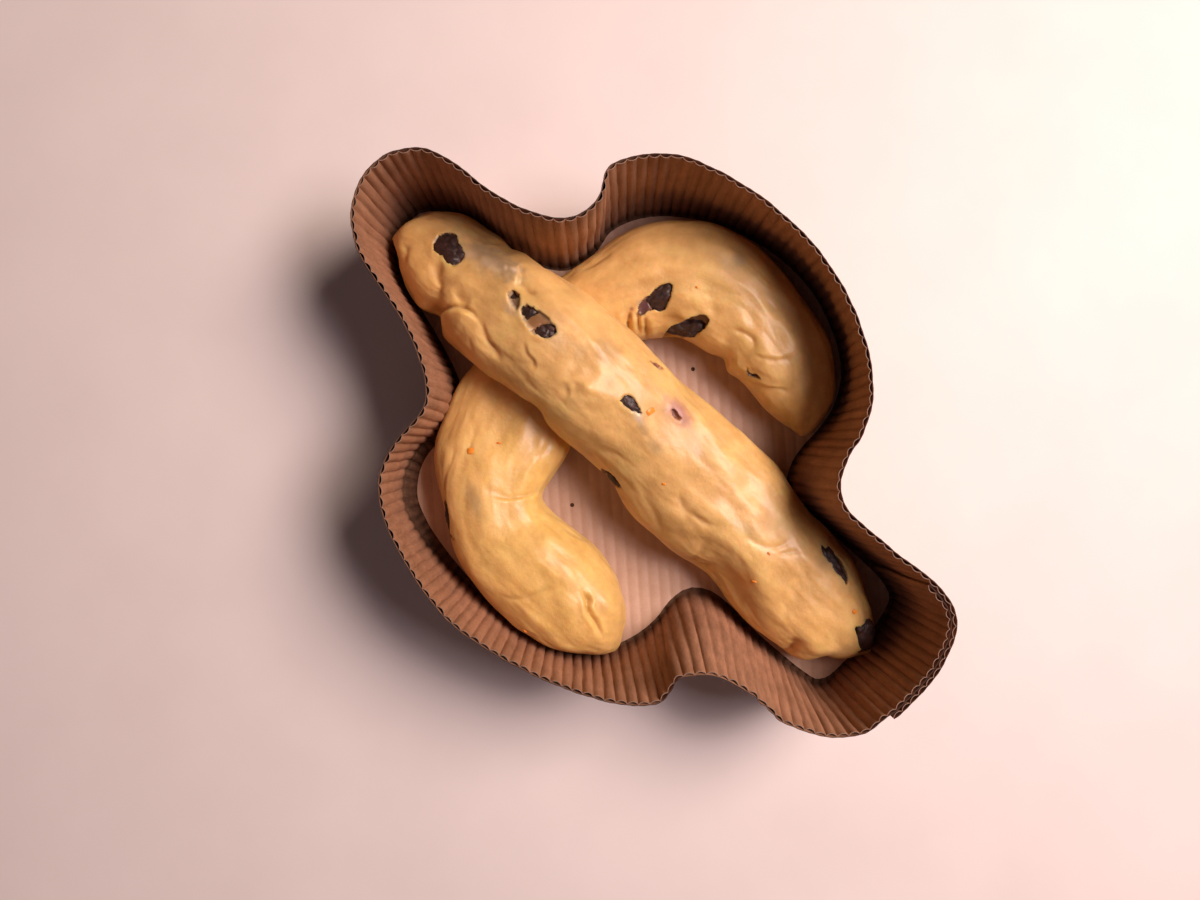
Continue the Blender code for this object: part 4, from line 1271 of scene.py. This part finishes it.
def tint_wings(wings):
    for place, radii, heading, colour, amount in (
        # Painted light: the lit wing towards -Y is tinted lighter and yellower.
        ((3.4, -62), (52, 27), -20, LIT_WING_YELLOW, 0.5),
        ((-29.5, -72.2), (8.5, 3.6), -22, GREY, 0.5), ((-22.4, 82), (3.4, 2.8), 0, GREY, 0.6),
        ((-24.5, 77), (6, 4), 0, FILM, 0.35), ((-37.6, 39.2), (2.6, 2.2), 0, PINK, 0.7),
        ((-40.9, 34.9), (0.9, 0.8), 0, RUST, 0.9), ((-39.8, 38.6), (1.6, 1.6), 0, FILM, 0.6),
    ):
        wings.spot(place, radii, heading, colour, amount)


# ---- the studio ----

CAMERA_PLACE = (-0.0071, -0.01835, 0.4015)
CAMERA_TURN = 45.0
CAMERA_LENS = 25.5
SKY_COLOUR, SKY_STRENGTH = (1.0, 0.74, 0.76, 1.0), 0.02
TABLE_REACH, TABLE_DROP = 1600.0, 0.05
# Each light's heading and height in degrees, its distance and size in metres, its power and its colour.
LIGHTS = {
    "window": (74.0, 51.5, 1.4, 0.72, 21.5, (1.0, 0.79, 0.69)),
    "sky": (50.0, 60.0, 0.9, 0.3, 3.0, (1.0, 0.83, 0.86)),
    "bounce": (280.0, 55.0, 0.9, 0.8, 0.4, (1.0, 0.70, 0.68)),
}


def make_studio():
    data = bpy.data.cameras.new("camera")
    data.lens, data.sensor_width = CAMERA_LENS, 36.0
    camera = put("camera", data)
    camera.location = CAMERA_PLACE
    camera.rotation_euler = (0.0, 0.0, math.radians(CAMERA_TURN))
    bpy.context.scene.camera = camera

    for name, (heading, height, distance, size, power, colour) in LIGHTS.items():
        light = bpy.data.lights.new(name, "AREA")
        light.shape = "DISK"
        light.size = size
        light.energy = power
        light.color = colour
        lamp = put(name, light)
        a, e = math.radians(heading), math.radians(height)
        way = Vector((math.cos(e) * math.cos(a), math.cos(e) * math.sin(a), math.sin(e)))
        lamp.location = distance * way
        lamp.rotation_euler = (-way).to_track_quat("-Z", "Y").to_euler()

    world = bpy.data.worlds.new("studio")
    world.use_nodes = True
    sky = world.node_tree.nodes["Background"]
    sky.inputs["Color"].default_value = SKY_COLOUR
    sky.inputs["Strength"].default_value = SKY_STRENGTH
    bpy.context.scene.world = world
    bpy.context.scene.view_settings.view_transform = "Standard"

    look = Shader("pale_table", 0.6)
    look.colour(look.ramp(look.noise(60.0, 3.0), (0.3, (0.80, 0.72, 0.71)), (0.7, (0.84, 0.76, 0.75))))
    signs = ((-1, -1), (1, -1), (1, 1), (-1, 1))
    corners = [(x * TABLE_REACH, y * TABLE_REACH, -TABLE_DROP) for x, y in signs]
    table = make_mesh("table_floor", corners, [(0, 1, 2, 3)], [look.material])


# ---- everything ----

make_studio()
# The second numbers are how dark the painted shade makes each board at its foot.
KRAFT, OUTSIDE = kraft_look("kraft_board", 0.2), kraft_look("kraft_liner", 0.75)
EDGE, CREAM = cut_edge_look(), floor_look()
make_wall(KRAFT, EDGE, OUTSIDE, liner_edge_look())
make_floor(CREAM, KRAFT)
FRUIT = raisin_look("raisin_skin", (0.016, 0.008, 0.008), (0.045, 0.018, 0.014), (0.13, 0.045, 0.03))
FLESH = raisin_look("raisin_flesh", (0.10, 0.025, 0.018), (0.24, 0.08, 0.055), (0.42, 0.19, 0.15))
BODY_ROLL, WINGS_ROLL = make_dough(dough_look(), FRUIT, FLESH)
make_zest({"body": BODY_ROLL, "wings": WINGS_ROLL}, zest_look())
